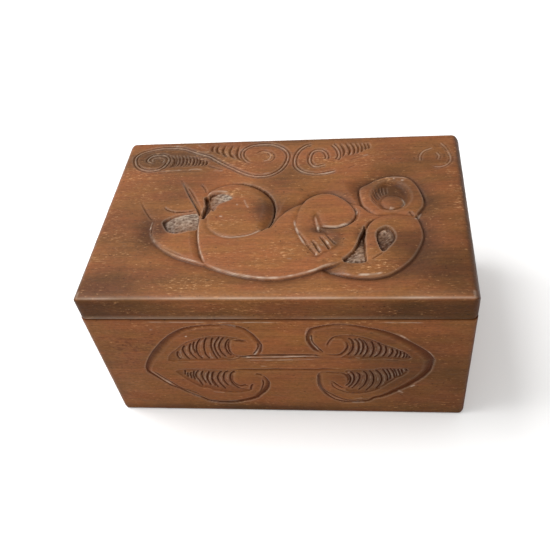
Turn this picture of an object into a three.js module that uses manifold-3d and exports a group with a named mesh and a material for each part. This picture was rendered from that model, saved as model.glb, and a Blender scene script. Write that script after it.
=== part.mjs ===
// A carved wooden box with a hinged lid: a lapped case of five boards, a thick carved lid, two brass
// butt hinges with their pins and screws, and the fine nails that hold the case together.
// Millimetres, +Z up, +X to the right, the carved front faces -Y. The origin is the middle of the base.
import * as THREE from 'three';
import { mergeVertices } from 'three/addons/utils/BufferGeometryUtils.js';
import Module from 'manifold-3d';

const wasm = await Module();
wasm.setup();

// Case sizes
const case_width = 240;
const case_depth = 150;
const wall_height = 101;
const wall_thickness = 12;
const rebate_lip = 5;
const bottom_thickness = 8;
const case_corner_radius = 4;
const foot_corner_radius = 4;
const foot_arris_radius = 1.8;
const glue_gap = 0.05;

// Lid sizes
const lid_thickness = 19.5;
const lid_gap = 0.5;
const lid_end_radius = 6.5;
const lid_edge_radius = 2.3;
const lid_lower_radius = 0.8;
const lid_corner_radius = 5;

// Hinge sizes
const hinge_length = 38;
const hinge_inset = 50;
const hinge_reach = 10.5;
const leaf_thickness = 1.2;
const leaf_gap = 0.3;
const knuckle_radius = 2.4;
const knuckle_count = 5;
const knuckle_gap = 0.3;
const pin_radius = 1.1;
const pin_clearance = 0.15;
const axis_stand_off = 0.6;
const mortise_clearance = 0.2;
const seat_gap = 0.05;
const knuckle_recess_clearance = 0.4;
const stop_angle = THREE.MathUtils.degToRad(110);

// Screw sizes
const screw_length = 10;
const screw_shank_radius = 1;
const screw_head_radius = 2.1;
const screw_head_height = 0.95;
const screw_point_length = 2.5;
const screw_slot_width = 0.5;
const screw_slot_depth = 0.45;
const screw_pitch = 24;
const screw_hole_clearance = 0.15;
const screw_head_sink = 0.05;

// Nail sizes
const nail_length = 25;
const bottom_nail_length = 20;
const nail_radius = 0.6;
const nail_head_radius = 0.9;
const nail_head_height = 0.6;
const nail_point_length = 2;
const nail_hole_clearance = 0.15;
const nail_sink = 0.3;
const corner_nail_inset = 18;
const corner_nail_count = 3;
const bottom_nail_inset = 30;
const long_wall_nail_count = 3;
const end_wall_nail_count = 2;

// Carving sizes
const sheet_width = 240;
const lid_sheet_depth = 153;
const front_sheet_height = 101;
const scoop_width = 6;
const scoop_depth = 2.2;
const cut_half_width = 1.4;
const cut_depth = 1.8;
const line_half_width = 0.9;
const line_depth = 0.9;
const channel_half_width = 1.9;
const channel_depth = 1.2;
const hollow_depth = 4.5;
const bowl_depth = 2.4;
const boss_radius = 6.6;
const wedge_depth = 0.8;
const scoop_station = 5;
const line_station = 3.4;
const cut_overshoot = 0.6;

// Round faces: straight sides to a full turn
const knuckle_sides = 16;
const bore_sides = 12;
const screw_sides = 12;
const nail_sides = 6;
const corner_segments = 5;

// Places worked out from the sizes
const lid_overhang_past_axis = (axis_stand_off + lid_gap / 2 * Math.sin(stop_angle)) / -Math.cos(stop_angle);
const lid_overhang = axis_stand_off + lid_overhang_past_axis;
const lid_depth = case_depth + lid_overhang;
const case_right = case_width / 2;
const case_left = -case_right;
const front_y = -lid_depth / 2;
const back_y = front_y + case_depth;
const lid_back_y = back_y + lid_overhang;
const lid_low = wall_height + lid_gap;
const lid_top = lid_low + lid_thickness;
const axis_y = back_y + axis_stand_off;
const axis_z = wall_height + lid_gap / 2;
const hinge_x = case_right - hinge_inset;
const knuckle_length = (hinge_length - (knuckle_count - 1) * knuckle_gap) / knuckle_count;
const leaf_near = leaf_gap / 2;
const leaf_far = leaf_near + leaf_thickness;
const mortise_floor = leaf_far + seat_gap;
const screw_y = axis_y - (hinge_reach + knuckle_radius + knuckle_gap) / 2;
const wall_inside = wall_thickness - rebate_lip;
const ledge_middle = rebate_lip + wall_inside / 2;

const X = new THREE.Vector3(1, 0, 0);
const Y = new THREE.Vector3(0, 1, 0);
const Z = new THREE.Vector3(0, 0, 1);

// Materials
function finish(color, roughness, metalness) {
  return new THREE.MeshStandardMaterial({ color, roughness, metalness });
}
const carved_wood = finish(0x94532f, 0.5, 0);
const case_wood = finish(0x8a4b2a, 0.55, 0);
const bottom_wood = finish(0x7c4a2d, 0.7, 0);
const aged_brass = finish(0x9a7a42, 0.42, 1);
const dark_iron = finish(0x3c3632, 0.6, 1);

// Solids: closed geometry in, a solid that can be joined and cut out
function solid(geometry) {
  geometry.deleteAttribute('normal');
  geometry.deleteAttribute('uv');
  const merged = mergeVertices(geometry, 1e-4);
  const corners = merged.index.array;
  const kept = [];
  for (let i = 0; i < corners.length; i += 3) {
    const [a, b, c] = [corners[i], corners[i + 1], corners[i + 2]];
    if (a !== b && b !== c && c !== a) kept.push(a, b, c);
  }
  return new wasm.Manifold(new wasm.Mesh({
    numProp: 3,
    vertProperties: new Float32Array(merged.attributes.position.array),
    triVerts: new Uint32Array(kept),
  }));
}

function geometryOf(body) {
  const { vertProperties, triVerts } = body.getMesh();
  const geometry = new THREE.BufferGeometry();
  geometry.setAttribute('position', new THREE.BufferAttribute(new Float32Array(vertProperties), 3));
  geometry.setIndex(new THREE.BufferAttribute(new Uint32Array(triVerts), 1));
  return geometry;
}

function piece(name, body, material) {
  const mesh = new THREE.Mesh(geometryOf(body), material);
  mesh.name = name;
  return mesh;
}

function block(x_low, x_high, y_low, y_high, z_low, z_high) {
  const geometry = new THREE.BoxGeometry(x_high - x_low, y_high - y_low, z_high - z_low);
  geometry.translate((x_low + x_high) / 2, (y_low + y_high) / 2, (z_low + z_high) / 2);
  return solid(geometry);
}

// A rectangle with its own radius at each corner, given anticlockwise from the low left one
function roundedOutline(left, right, low, high, radii) {
  const [low_left, low_right, high_right, high_left] = radii;
  const quarter = Math.PI / 2;
  const shape = new THREE.Shape();
  const corner = (x, y, radius, inward_x, inward_y, start) => {
    if (radius > 0) {
      shape.absarc(x + inward_x * radius, y + inward_y * radius, radius, start, start + quarter, false);
    } else {
      shape.lineTo(x, y);
    }
  };
  shape.moveTo(left + low_left, low);
  corner(right, low, low_right, -1, 1, -quarter);
  corner(right, high, high_right, -1, -1, 0);
  corner(left, high, high_left, 1, -1, quarter);
  corner(left, low, low_left, 1, 1, 2 * quarter);
  return shape;
}

function extrusion(shape, depth) {
  return new THREE.ExtrudeGeometry(shape, { depth, bevelEnabled: false, curveSegments: corner_segments });
}

// Extruded upwards from z_low, along Y from y_low, and along X from x_low
function upright(shape, z_low, z_high) {
  return solid(extrusion(shape, z_high - z_low).translate(0, 0, z_low));
}

function frontToBack(shape, y_low, y_high) {
  const turn = new THREE.Matrix4().makeBasis(X, Z, Y.clone().negate());
  return solid(extrusion(shape, y_high - y_low).applyMatrix4(turn).translate(0, y_high, 0));
}

function sideways(shape, x_low, x_high) {
  const turn = new THREE.Matrix4().makeBasis(Y, Z, X);
  return solid(extrusion(shape, x_high - x_low).applyMatrix4(turn).translate(x_low, 0, 0));
}

// A round bar along X between two places on that axis
function roundBar(radius, x_low, x_high, sides) {
  const geometry = new THREE.CylinderGeometry(radius, radius, x_high - x_low, sides);
  geometry.translate(0, (x_low + x_high) / 2, 0);
  return solid(geometry.applyMatrix4(new THREE.Matrix4().makeBasis(Z, X, Y)));
}

// A turned shape from [radius, z] corners, about Z
function turned(profile, sides) {
  const outline = profile.map(([radius, z]) => new THREE.Vector2(radius, z));
  const turn = new THREE.Matrix4().makeBasis(Y, Z, X);
  return solid(new THREE.LatheGeometry(outline, sides).applyMatrix4(turn));
}

// Carving

// A carved face holds its outline sheets: u runs from the left, v down the sheet, and cuts go inwards
class CarvedFace {
  constructor(sheet_height, height, placement) {
    this.across = case_width / sheet_width;
    this.down = height / sheet_height;
    this.placement = placement;
  }

  point([u, v]) {
    return new THREE.Vector3((u - sheet_width / 2) * this.across, -v * this.down, 0);
  }

  placed(geometry) {
    return solid(geometry.applyMatrix4(this.placement));
  }

  // A blade drawn along a line: section is a triangle, x into the wood, y to the left of the line
  swept(points, section, station) {
    const path = new THREE.CatmullRomCurve3(points.map((p) => this.point(p)), false, 'centripetal');
    const steps = Math.max(2, Math.round(path.getLength() / station));
    return this.placed(new THREE.ExtrudeGeometry(section, { steps, extrudePath: path, bevelEnabled: false }));
  }

  // A cut with two sloping sides
  cut(points, half_width, depth, station = line_station) {
    const top = half_width * (1 + cut_overshoot / depth);
    return this.swept(points, triangle([-cut_overshoot, -top], [depth, 0], [-cut_overshoot, top]), station);
  }

  // Ground scooped away on the left of the line, with an upright wall on its right
  scoop(points, width, depth, station = scoop_station) {
    const top = width * (1 + cut_overshoot / depth);
    return this.swept(points, triangle([-cut_overshoot, 0], [depth, 0], [-cut_overshoot, top]), station);
  }

  // A hollow with upright walls
  hollow(points, depth, sides) {
    const rim = new THREE.CatmullRomCurve3(points.map((p) => this.point(p)), true, 'centripetal');
    const shape = new THREE.Shape(rim.getPoints(sides).slice(0, -1).map((p) => new THREE.Vector2(p.x, p.y)));
    return this.placed(extrusion(shape, depth + cut_overshoot).translate(0, 0, -depth));
  }

  // A round boss, to be left standing in a hollow
  boss(centre, radius, sides) {
    const place = this.point(centre);
    const shape = new THREE.Shape(new THREE.Path().absarc(0, 0, radius, 0, 2 * Math.PI).getPoints(sides));
    const height = 2 * (hollow_depth + cut_overshoot);
    return this.placed(extrusion(shape, height).translate(place.x, place.y, -height / 2));
  }
}

function triangle(...corners) {
  return new THREE.Shape(corners.map(([x, y]) => new THREE.Vector2(x, y)));
}

function carve(board, cuts) {
  return cuts.reduce((wood, tool) => wood.subtract(tool), board);
}

const lid_face = new CarvedFace(
  lid_sheet_depth,
  lid_depth,
  new THREE.Matrix4().makeTranslation(0, lid_back_y, lid_top),
);
const front_face = new CarvedFace(
  front_sheet_height,
  wall_height,
  new THREE.Matrix4().makeBasis(X, Z, Y.clone().negate()).setPosition(0, front_y, wall_height),
);

// The large figure: its outline, drawn clockwise so that the ground lies on the left
const figure_outline = [
  [[148, 127.5], [140, 130.3], [130, 132.8], [115, 135], [100, 133.5], [88, 130.5], [74, 124], [60, 119.5],
    [48, 113], [39, 105.5], [34.8, 96], [34.3, 86], [31, 80], [27, 76], [21, 66]],
  [[84, 48], [92, 50.5], [100, 57.5], [106, 65.5], [110, 73.5], [111.3, 80]],
  [[112, 87], [115, 82], [122, 74.5], [128, 69], [134, 63.5], [140, 60], [146, 59], [152, 60.3], [158, 66],
    [163, 73], [164.8, 80]],
  [[174, 77], [170, 71], [167, 63], [166.5, 55], [170, 48.5], [177, 43.5], [188, 40.5], [198, 42.5],
    [205, 48.5], [209, 58], [209, 68], [205.5, 76]],
  [[204.5, 89], [206.5, 94], [207.3, 101], [205.5, 110], [201.5, 117.5], [194, 125.5], [183, 131.5],
    [170, 134], [158, 132.5], [150, 129.5]],
];
const figure_cuts = [
  [[45, 45], [48, 49], [52, 55], [56.5, 62], [60.5, 70], [63, 76]],
  [[64.5, 84], [64.5, 92], [65, 97], [67.5, 109], [70, 115], [73.5, 121.5]],
  [[67.5, 86.5], [69.5, 91], [73, 96.5], [80, 100], [90, 100], [101, 97.5], [108, 93]],
  [[163.5, 85], [158, 90.3], [152, 92], [146, 92], [142.5, 89]],
  [[139, 79.5], [139, 86], [140.3, 92], [142.5, 97.5]],
  [[127, 78], [126.3, 86], [128, 95], [132, 102], [135.5, 110], [139.5, 115.5], [143, 118.5]],
  [[186, 80.3], [179, 82.3], [173.5, 88], [171, 94]],
];
const finger_lines = [
  [[139, 106], [141.5, 110.5], [144.5, 115]],
  [[144.5, 103], [147, 107], [150, 111.5]],
  [[148, 99.5], [151, 104], [154.5, 107.5]],
];
const mouth_hollow = [
  [40.5, 85.5], [46, 81], [54, 79], [61, 80.5], [63, 88], [60.5, 95.5], [52, 97.6], [45, 93.5],
];
const throat_slot = [[65.3, 61], [68.5, 65], [70, 71], [69, 78], [67.3, 80.8], [65, 75]];
const brow_hollow = [[67.5, 59.3], [72, 57.5], [78, 59.5], [80.5, 64.5], [75, 67.3], [71.6, 69], [69.8, 64]];
const eye_hollow = [
  [182, 91.5], [187, 95], [190, 103], [186.5, 112], [183.5, 115.5], [180, 107], [179.3, 97.5],
];
const crook_hollow = [
  [168.8, 99], [171, 108], [172.3, 121], [166, 122.8], [159.8, 120.6], [164.5, 111.5],
];
const ring_bowl = [
  [175, 61], [177.5, 51], [188, 46.5], [199, 51.5], [202, 62], [197, 73.5], [187, 76], [178, 70],
];
const boss_centre = [188.5, 65.5];

// The band of spirals along the back edge
const band_lines = [
  [[21, 27], [16.8, 23.5], [17, 18], [21.5, 15], [27, 16.5], [30.3, 22], [29.5, 29], [24.5, 33.8], [17, 34],
    [10.5, 29], [8.2, 21], [10.5, 13], [16, 9.3], [25, 8.3], [35, 8.8], [43, 12], [52, 16.5], [62, 22],
    [70, 28], [80, 35], [90, 40], [100, 41.2], [108, 37.5], [113, 30], [115, 22], [113, 14], [107, 8],
    [97, 5.5], [87, 7], [82, 13], [82.5, 20], [88, 27]],
  [[92, 15.5], [95, 12.5], [100, 13], [104, 18], [103, 24], [99, 26.5]],
  [[150, 35.3], [142, 38.6], [132, 39], [124, 34], [119.5, 27], [118.8, 19], [123, 10]],
  [[143, 20], [140.5, 13.5], [134, 12], [129, 16.5], [128.3, 23], [131, 28.8], [137, 30]],
  [[224, 7], [229.5, 11], [231.5, 19], [229, 27.5], [221, 32], [213, 30.5], [208.3, 24], [209.5, 16],
    [217, 12.5]],
];

const lid_cuts = [
  ...figure_outline.map((line) => lid_face.scoop(line, scoop_width, scoop_depth)),
  ...figure_cuts.map((line) => lid_face.cut(line, cut_half_width, cut_depth)),
  ...finger_lines.map((line) => lid_face.cut(line, line_half_width, line_depth)),
  ...band_lines.map((line) => lid_face.cut(line, line_half_width, line_depth)),
  lid_face.hollow(mouth_hollow, hollow_depth, 20),
  lid_face.hollow(throat_slot, hollow_depth, 14),
  lid_face.hollow(brow_hollow, hollow_depth, 14),
  lid_face.hollow(eye_hollow, hollow_depth, 16),
  lid_face.hollow(crook_hollow, hollow_depth, 16),
  lid_face.hollow(ring_bowl, bowl_depth, 28).subtract(lid_face.boss(boss_centre, boss_radius, 8)),
];

// The front: two heart scrolls, point outwards, joined by a bar between two long cuts
const heart_lines = [
  [[102, 34], [105.5, 28], [105.3, 20], [100.5, 10.5], [92, 5.5], [80, 4.8], [67, 6.2], [55, 11], [44, 20.5],
    [34.5, 33.5], [29.3, 44], [28, 50], [30.5, 57], [40, 68], [54, 80.5], [67, 86.5], [82, 87.3], [95, 83.5],
    [103, 75], [105.5, 65], [103, 56]],
  [[141, 33], [136.2, 27], [135.2, 17], [139, 8.8], [149, 5], [162, 4.9], [178, 9], [193, 15.8], [206, 25.5],
    [214.3, 38], [215, 47], [209, 59.5], [194, 69.5], [176, 83], [163, 88], [150, 85], [141, 76], [137.6, 65],
    [140, 55.5]],
];
const bar_lines = [
  [[90, 36.3], [117, 36.3], [144, 36.3]],
  [[84, 51], [117, 51.3], [146, 51]],
];
const curl_lines = [
  [[97.5, 22.5], [93, 18.8], [87.5, 21], [85.2, 27], [87, 33], [91, 36]],
  [[95, 67.5], [92, 72.5], [86.5, 71.5], [81.5, 66], [81.5, 59], [86, 53.5]],
  [[147.5, 25], [150, 19.5], [155.5, 19.3], [159.7, 25], [158.5, 31.5], [152, 35]],
  [[146.8, 63.5], [149, 69.5], [155, 70], [159, 64.5], [158, 58], [152.5, 54.8]],
];
const wedges = [
  [[46, 39.5], [55, 27.5], [66, 19.3], [78, 16.5], [82.5, 19.5], [81, 28], [83.5, 38.5], [64, 40]],
  [[46.5, 53], [62, 53], [80, 54], [77, 63], [79.5, 72], [72, 75.5], [62, 71.5], [53.5, 62.5]],
  [[199, 39], [189, 29.5], [176, 21.5], [164, 16.5], [160.5, 19.5], [163.7, 28], [160, 37.5], [180, 39.3]],
  [[197.5, 51.5], [191, 60], [180, 70], [168, 76], [161, 74.5], [163.5, 63], [161, 53], [180, 51.3]],
];
const front_cuts = [
  ...heart_lines.map((line) => front_face.cut(line, channel_half_width, channel_depth, scoop_station)),
  ...bar_lines.map((line) => front_face.cut(line, line_half_width, line_depth, case_width)),
  ...curl_lines.map((line) => front_face.cut(line, line_half_width, line_depth)),
  ...wedges.map((line) => front_face.hollow(line, wedge_depth, 20)),
];

// Fasteners

// A nail that points along -Z from its head at z = 0
function nail(length) {
  const profile = [
    [0, -length],
    [nail_radius, -length + nail_point_length],
    [nail_radius, -nail_head_height],
    [nail_head_radius, 0],
    [0, 0],
  ];
  return turned(profile, nail_sides);
}

// The hole for it, opened for its head at the surface
function nailHole(length) {
  const bore = nail_radius + nail_hole_clearance;
  const mouth = nail_head_radius + nail_hole_clearance;
  const profile = [
    [0, -length - nail_sink],
    [bore, -length - nail_sink],
    [bore, -nail_head_height],
    [mouth, 0],
    [mouth, 2 * nail_sink],
    [0, 2 * nail_sink],
  ];
  return turned(profile, nail_sides);
}

// A countersunk slotted screw that points along -Z from its head at z = 0
function screw() {
  const profile = [
    [0, -screw_length],
    [screw_shank_radius, -screw_length + screw_point_length],
    [screw_shank_radius, -screw_head_height],
    [screw_head_radius, 0],
    [0, 0],
  ];
  const reach = 2 * screw_head_radius;
  const half = screw_slot_width / 2;
  const slot = block(-reach, reach, -half, half, -screw_slot_depth, screw_slot_depth);
  return turned(profile, screw_sides).subtract(slot);
}

// The clear way for it through the leaf and into the wood
function screwHole() {
  const bore = screw_shank_radius + screw_hole_clearance;
  const mouth = screw_head_radius + screw_hole_clearance;
  const profile = [
    [0, -screw_length - screw_hole_clearance],
    [bore, -screw_length - screw_hole_clearance],
    [bore, -screw_head_height],
    [mouth, 0],
    [mouth, leaf_gap],
    [0, leaf_gap],
  ];
  return turned(profile, screw_sides);
}

// Where the screws of one hinge stand, from the hinge's middle on its axis
// side is -1 on the case and 1 on the lid
function screwPlaces(side) {
  const head_z = side * (leaf_near + screw_head_sink);
  return [-1, 1].map((end) => {
    const turn = new THREE.Matrix4().makeRotationX(side > 0 ? Math.PI : 0);
    return turn.setPosition(end * screw_pitch / 2, screw_y - axis_y, head_z);
  });
}

// Where the nails stand: each place is a matrix that carries a nail from its own axis to the case
function cornerNailPlaces() {
  const places = [];
  const spacing = (wall_height - 2 * corner_nail_inset) / (corner_nail_count - 1);
  for (const side of [-1, 1]) {
    const turn = new THREE.Matrix4().makeRotationY(side * Math.PI / 2);
    for (const y of [front_y + ledge_middle, back_y - ledge_middle]) {
      for (let row = 0; row < corner_nail_count; row += 1) {
        const x = side * (case_right - nail_sink);
        places.push(turn.clone().setPosition(x, y, corner_nail_inset + row * spacing));
      }
    }
  }
  return places;
}

function bottomNailPlaces() {
  const places = [];
  const turn = new THREE.Matrix4().makeRotationX(Math.PI);
  const spread = (from, to, count, at) => {
    for (let i = 0; i < count; i += 1) {
      const along = count > 1 ? from + i * (to - from) / (count - 1) : (from + to) / 2;
      const [x, y] = at(along);
      places.push(turn.clone().setPosition(x, y, nail_sink));
    }
  };
  const long_end = case_right - bottom_nail_inset;
  for (const y of [front_y + ledge_middle, back_y - ledge_middle]) {
    spread(-long_end, long_end, long_wall_nail_count, (along) => [along, y]);
  }
  const near = front_y + bottom_nail_inset + wall_thickness;
  const far = back_y - bottom_nail_inset - wall_thickness;
  for (const x of [case_left + ledge_middle, case_right - ledge_middle]) {
    spread(near, far, end_wall_nail_count, (along) => [x, along]);
  }
  return places;
}

function holesAt(places, tool) {
  return places.map((place) => tool.transform(place.elements));
}

// Hinges

// One leaf of a butt hinge, about its own axis. side is -1 for the case's leaf and 1 for the lid's
function hingeLeaf(side) {
  const half = hinge_length / 2;
  const clear = knuckle_radius + knuckle_gap;
  const [low, high] = side < 0 ? [-leaf_far, -leaf_near] : [leaf_near, leaf_far];
  let leaf = block(-half, half, -hinge_reach, -clear, low, high);
  for (let i = side < 0 ? 0 : 1; i < knuckle_count; i += 2) {
    const start = -half + i * (knuckle_length + knuckle_gap);
    const end = start + knuckle_length;
    leaf = leaf.add(block(start, end, -clear - leaf_thickness, 0, low, high));
    leaf = leaf.add(roundBar(knuckle_radius, start, end, knuckle_sides));
  }
  leaf = leaf.subtract(roundBar(pin_radius + pin_clearance, -hinge_length, hinge_length, bore_sides));
  return carve(leaf, holesAt(screwPlaces(side), screwHole()));
}

function hingePin() {
  return roundBar(pin_radius, -hinge_length / 2, hinge_length / 2, bore_sides);
}

// What is cut from the board on one side for one hinge, about the hinge's own axis
function hingeRecess(side) {
  const half = hinge_length / 2 + mortise_clearance;
  const inner = -hinge_reach - mortise_clearance;
  const outer = lid_overhang_past_axis + knuckle_radius;
  const past_face = knuckle_radius;
  const [low, high] = side < 0 ? [-mortise_floor, past_face] : [-past_face, mortise_floor];
  const recess_radius = knuckle_radius + knuckle_recess_clearance;
  return block(-half, half, inner, outer, low, high)
    .add(roundBar(recess_radius, -half, half, knuckle_sides));
}

function hingeCuts(side) {
  const cuts = [];
  for (const x of [-hinge_x, hinge_x]) {
    cuts.push(hingeRecess(side).translate(x, axis_y, axis_z));
    for (const hole of holesAt(screwPlaces(side), screwHole())) {
      cuts.push(hole.translate(x, axis_y, axis_z));
    }
  }
  return cuts;
}

// Case boards

const corner_radii = Array(4).fill(case_corner_radius);
const case_plan = roundedOutline(case_left, case_right, front_y, back_y, corner_radii);
const case_from_front = roundedOutline(
  case_left, case_right, 0, wall_height, [foot_corner_radius, foot_corner_radius, 0, 0],
);
const case_from_side = roundedOutline(
  front_y, back_y, 0, wall_height, [foot_arris_radius, foot_arris_radius, 0, 0],
);
const case_envelope = upright(case_plan, 0, wall_height)
  .intersect(frontToBack(case_from_front, front_y, back_y))
  .intersect(sideways(case_from_side, case_left, case_right));
const bottom_place = block(
  case_left + rebate_lip, case_right - rebate_lip,
  front_y + rebate_lip, back_y - rebate_lip,
  -bottom_thickness, bottom_thickness,
);
const corner_nail_holes = holesAt(cornerNailPlaces(), nailHole(nail_length));
const bottom_nail_holes = holesAt(bottomNailPlaces(), nailHole(bottom_nail_length));
const nail_holes = [...corner_nail_holes, ...bottom_nail_holes];

// A long wall: full width, thinned to its lip at both ends where the end boards lap it
function longWall(outer_y, inner_y, lip_y) {
  const [low, high] = [Math.min(outer_y, inner_y), Math.max(outer_y, inner_y)];
  const [lap_low, lap_high] = [Math.min(lip_y, inner_y), Math.max(lip_y, inner_y)];
  const lap = wall_thickness;
  const wall = block(case_left, case_right, low, high, 0, wall_height);
  return carve(wall, [
    block(case_left - lap, case_left + lap, lap_low, lap_high, -lap, wall_height + lap),
    block(case_right - lap, case_right + lap, lap_low, lap_high, -lap, wall_height + lap),
    bottom_place,
    ...nail_holes,
  ]).intersect(case_envelope);
}

// An end wall: it stands between the two lips
function endWall(x_low, x_high) {
  const y_low = front_y + rebate_lip + glue_gap;
  const y_high = back_y - rebate_lip - glue_gap;
  const wall = block(x_low, x_high, y_low, y_high, 0, wall_height);
  return carve(wall, [bottom_place, ...nail_holes]).intersect(case_envelope);
}

function bottomBoard() {
  const margin = rebate_lip + glue_gap;
  const board = block(
    case_left + margin, case_right - margin,
    front_y + margin, back_y - margin,
    0, bottom_thickness - glue_gap,
  );
  return carve(board, nail_holes);
}

const front_wall = carve(longWall(front_y, front_y + wall_thickness, front_y + rebate_lip), front_cuts);
const back_wall = carve(longWall(back_y, back_y - wall_thickness, back_y - rebate_lip), hingeCuts(-1));
const left_wall = endWall(case_left, case_left + wall_thickness - glue_gap);
const right_wall = endWall(case_right - wall_thickness + glue_gap, case_right);

// Lid board: rounded ends, tight front and back edges, and a sharp lower back edge that stops the opening
const lid_plan = roundedOutline(case_left, case_right, front_y, lid_back_y, Array(4).fill(lid_corner_radius));
const lid_from_front = roundedOutline(
  case_left, case_right, lid_low, lid_top,
  [lid_lower_radius, lid_lower_radius, lid_end_radius, lid_end_radius],
);
const lid_from_side = roundedOutline(
  front_y, lid_back_y, lid_low, lid_top,
  [lid_lower_radius, 0, lid_edge_radius, lid_edge_radius],
);
const lid_body = upright(lid_plan, lid_low, lid_top)
  .intersect(frontToBack(lid_from_front, front_y, lid_back_y))
  .intersect(sideways(lid_from_side, case_left, case_right));
const lid_wood = carve(lid_body, [...lid_cuts, ...hingeCuts(1)]);

// The box put together
const box = new THREE.Group();
box.add(piece('lid_board', lid_wood, carved_wood));
box.add(piece('front_board', front_wall, carved_wood));
box.add(piece('back_board', back_wall, case_wood));
box.add(piece('left_end_board', left_wall, case_wood));
box.add(piece('right_end_board', right_wall, case_wood));
box.add(piece('bottom_board', bottomBoard(), bottom_wood));

function placed(mesh, matrix) {
  mesh.applyMatrix4(matrix);
  return mesh;
}

for (const [side_name, x] of [['left', -hinge_x], ['right', hinge_x]]) {
  const hinge = new THREE.Group();
  hinge.position.set(x, axis_y, axis_z);
  hinge.add(piece(`hinge_${side_name}_body_leaf`, hingeLeaf(-1), aged_brass));
  hinge.add(piece(`hinge_${side_name}_lid_leaf`, hingeLeaf(1), aged_brass));
  hinge.add(piece(`hinge_${side_name}_pin`, hingePin(), aged_brass));
  screwPlaces(-1).forEach((place, i) => {
    hinge.add(placed(piece(`${side_name}_body_screw_${i + 1}`, screw(), aged_brass), place));
  });
  screwPlaces(1).forEach((place, i) => {
    hinge.add(placed(piece(`${side_name}_lid_screw_${i + 1}`, screw(), aged_brass), place));
  });
  box.add(hinge);
}

cornerNailPlaces().forEach((place, i) => {
  box.add(placed(piece(`corner_nail_${i + 1}`, nail(nail_length), dark_iron), place));
});
bottomNailPlaces().forEach((place, i) => {
  box.add(placed(piece(`bottom_nail_${i + 1}`, nail(bottom_nail_length), dark_iron), place));
});

export default box;
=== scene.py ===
"""Looks of a carved wooden box with a hinged lid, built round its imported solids."""

import logging
import math
from dataclasses import dataclass, replace
from enum import Enum
from functools import partial
from typing import Any, Callable, Iterable, Sequence

import bmesh
import bpy
import numpy as np
from mathutils import Matrix, Vector


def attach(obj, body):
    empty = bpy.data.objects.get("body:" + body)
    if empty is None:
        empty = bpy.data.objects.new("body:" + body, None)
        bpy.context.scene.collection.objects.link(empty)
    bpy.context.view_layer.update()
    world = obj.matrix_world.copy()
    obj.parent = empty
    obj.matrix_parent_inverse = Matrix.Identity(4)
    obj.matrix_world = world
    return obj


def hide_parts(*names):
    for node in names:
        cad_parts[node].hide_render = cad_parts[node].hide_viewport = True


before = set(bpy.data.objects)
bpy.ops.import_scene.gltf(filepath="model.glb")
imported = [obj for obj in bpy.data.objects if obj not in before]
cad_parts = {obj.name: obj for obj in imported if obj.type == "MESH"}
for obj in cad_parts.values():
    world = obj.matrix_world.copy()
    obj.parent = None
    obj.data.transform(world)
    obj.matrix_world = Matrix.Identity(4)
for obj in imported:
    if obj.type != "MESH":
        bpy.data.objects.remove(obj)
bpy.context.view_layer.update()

LOG = logging.getLogger("carved_box")
MM = 0.001
Piece = bpy.types.Object
Shape = bmesh.types.BMesh
Socket = bpy.types.NodeSocket
Point = tuple[float, float]
Points = Sequence[Point]
Field = np.ndarray


class Body(Enum):
    """The two bodies that move against each other."""

    CASE = "case"
    LID = "lid"


class Slot(Enum):
    """The record's finishes for the new boards, which nothing here gives them."""

    CARVED = "carved_wood"
    CASE = "case_wood"
    BOTTOM = "bottom_wood"


@dataclass(frozen=True)
class CaseSizes:
    """Sizes of the case, in millimetres."""

    width: float = 240.0
    depth: float = 150.0
    height: float = 101.0
    wall: float = 12.0
    lip: float = 5.0
    bottom: float = 8.0
    corner_radius: float = 4.0
    foot_radius: float = 1.8
    front_y: float = -76.5206
    arris: float = 0.35
    front_cell: float = 0.6
    front_edge_radius: float = 0.45
    front_side_depth: float = 4.4
    interior_margin: float = 0.4


@dataclass(frozen=True)
class LidSizes:
    """Sizes of the lid, in millimetres."""

    thickness: float = 19.5
    gap: float = 0.5
    end_radius: float = 6.5
    edge_radius: float = 2.3
    lower_radius: float = 0.8
    corner_radius: float = 5.0
    back_y: float = 76.5206
    cell: float = 0.645
    side_rows: tuple[float, float, float] = (113.6, 109.5, 105.5)
    rim: float = 1.5
    arris_steps: int = 3


CASE = CaseSizes()
LID = LidSizes()
LID_LOW = CASE.height + LID.gap
LID_TOP = LID_LOW + LID.thickness
LID_DEPTH = LID.back_y - CASE.front_y
# Carving fades out over this width along the border of a face
PLAIN_BORDER = 1.5
# Edges sharper than this are eased, in degrees
ARRIS_ANGLE = 40.0
# Faces of this area or more are flat ones, and of the second are whole sides, in square metres
FLAT_AREA = 60 * MM**2
WHOLE_SIDE_AREA = 100 * MM**2


# Numbers over a face


def smooth(value: Field) -> Field:
    """An easy run from 0 to 1 with level ends."""
    t = np.clip(value, 0.0, 1.0)
    return t * t * (3.0 - 2.0 * t)


def bell(value: Field, middle: float, width: float) -> Field:
    """A round bump that is 1 at its middle and fades out on both sides."""
    return np.exp(-(((value - middle) / width) ** 2))


def path(text: str) -> Points:
    """Reads a line's places.

    Args:
        text: The places in millimetres, as u,v with a space between places.

    Returns:
        The places in order.
    """
    return tuple((float(u), float(v)) for u, v in (place.split(",") for place in text.split()))


def paths(*texts: str) -> tuple[Points, ...]:
    """Reads several lines' places."""
    return tuple(path(text) for text in texts)


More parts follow.
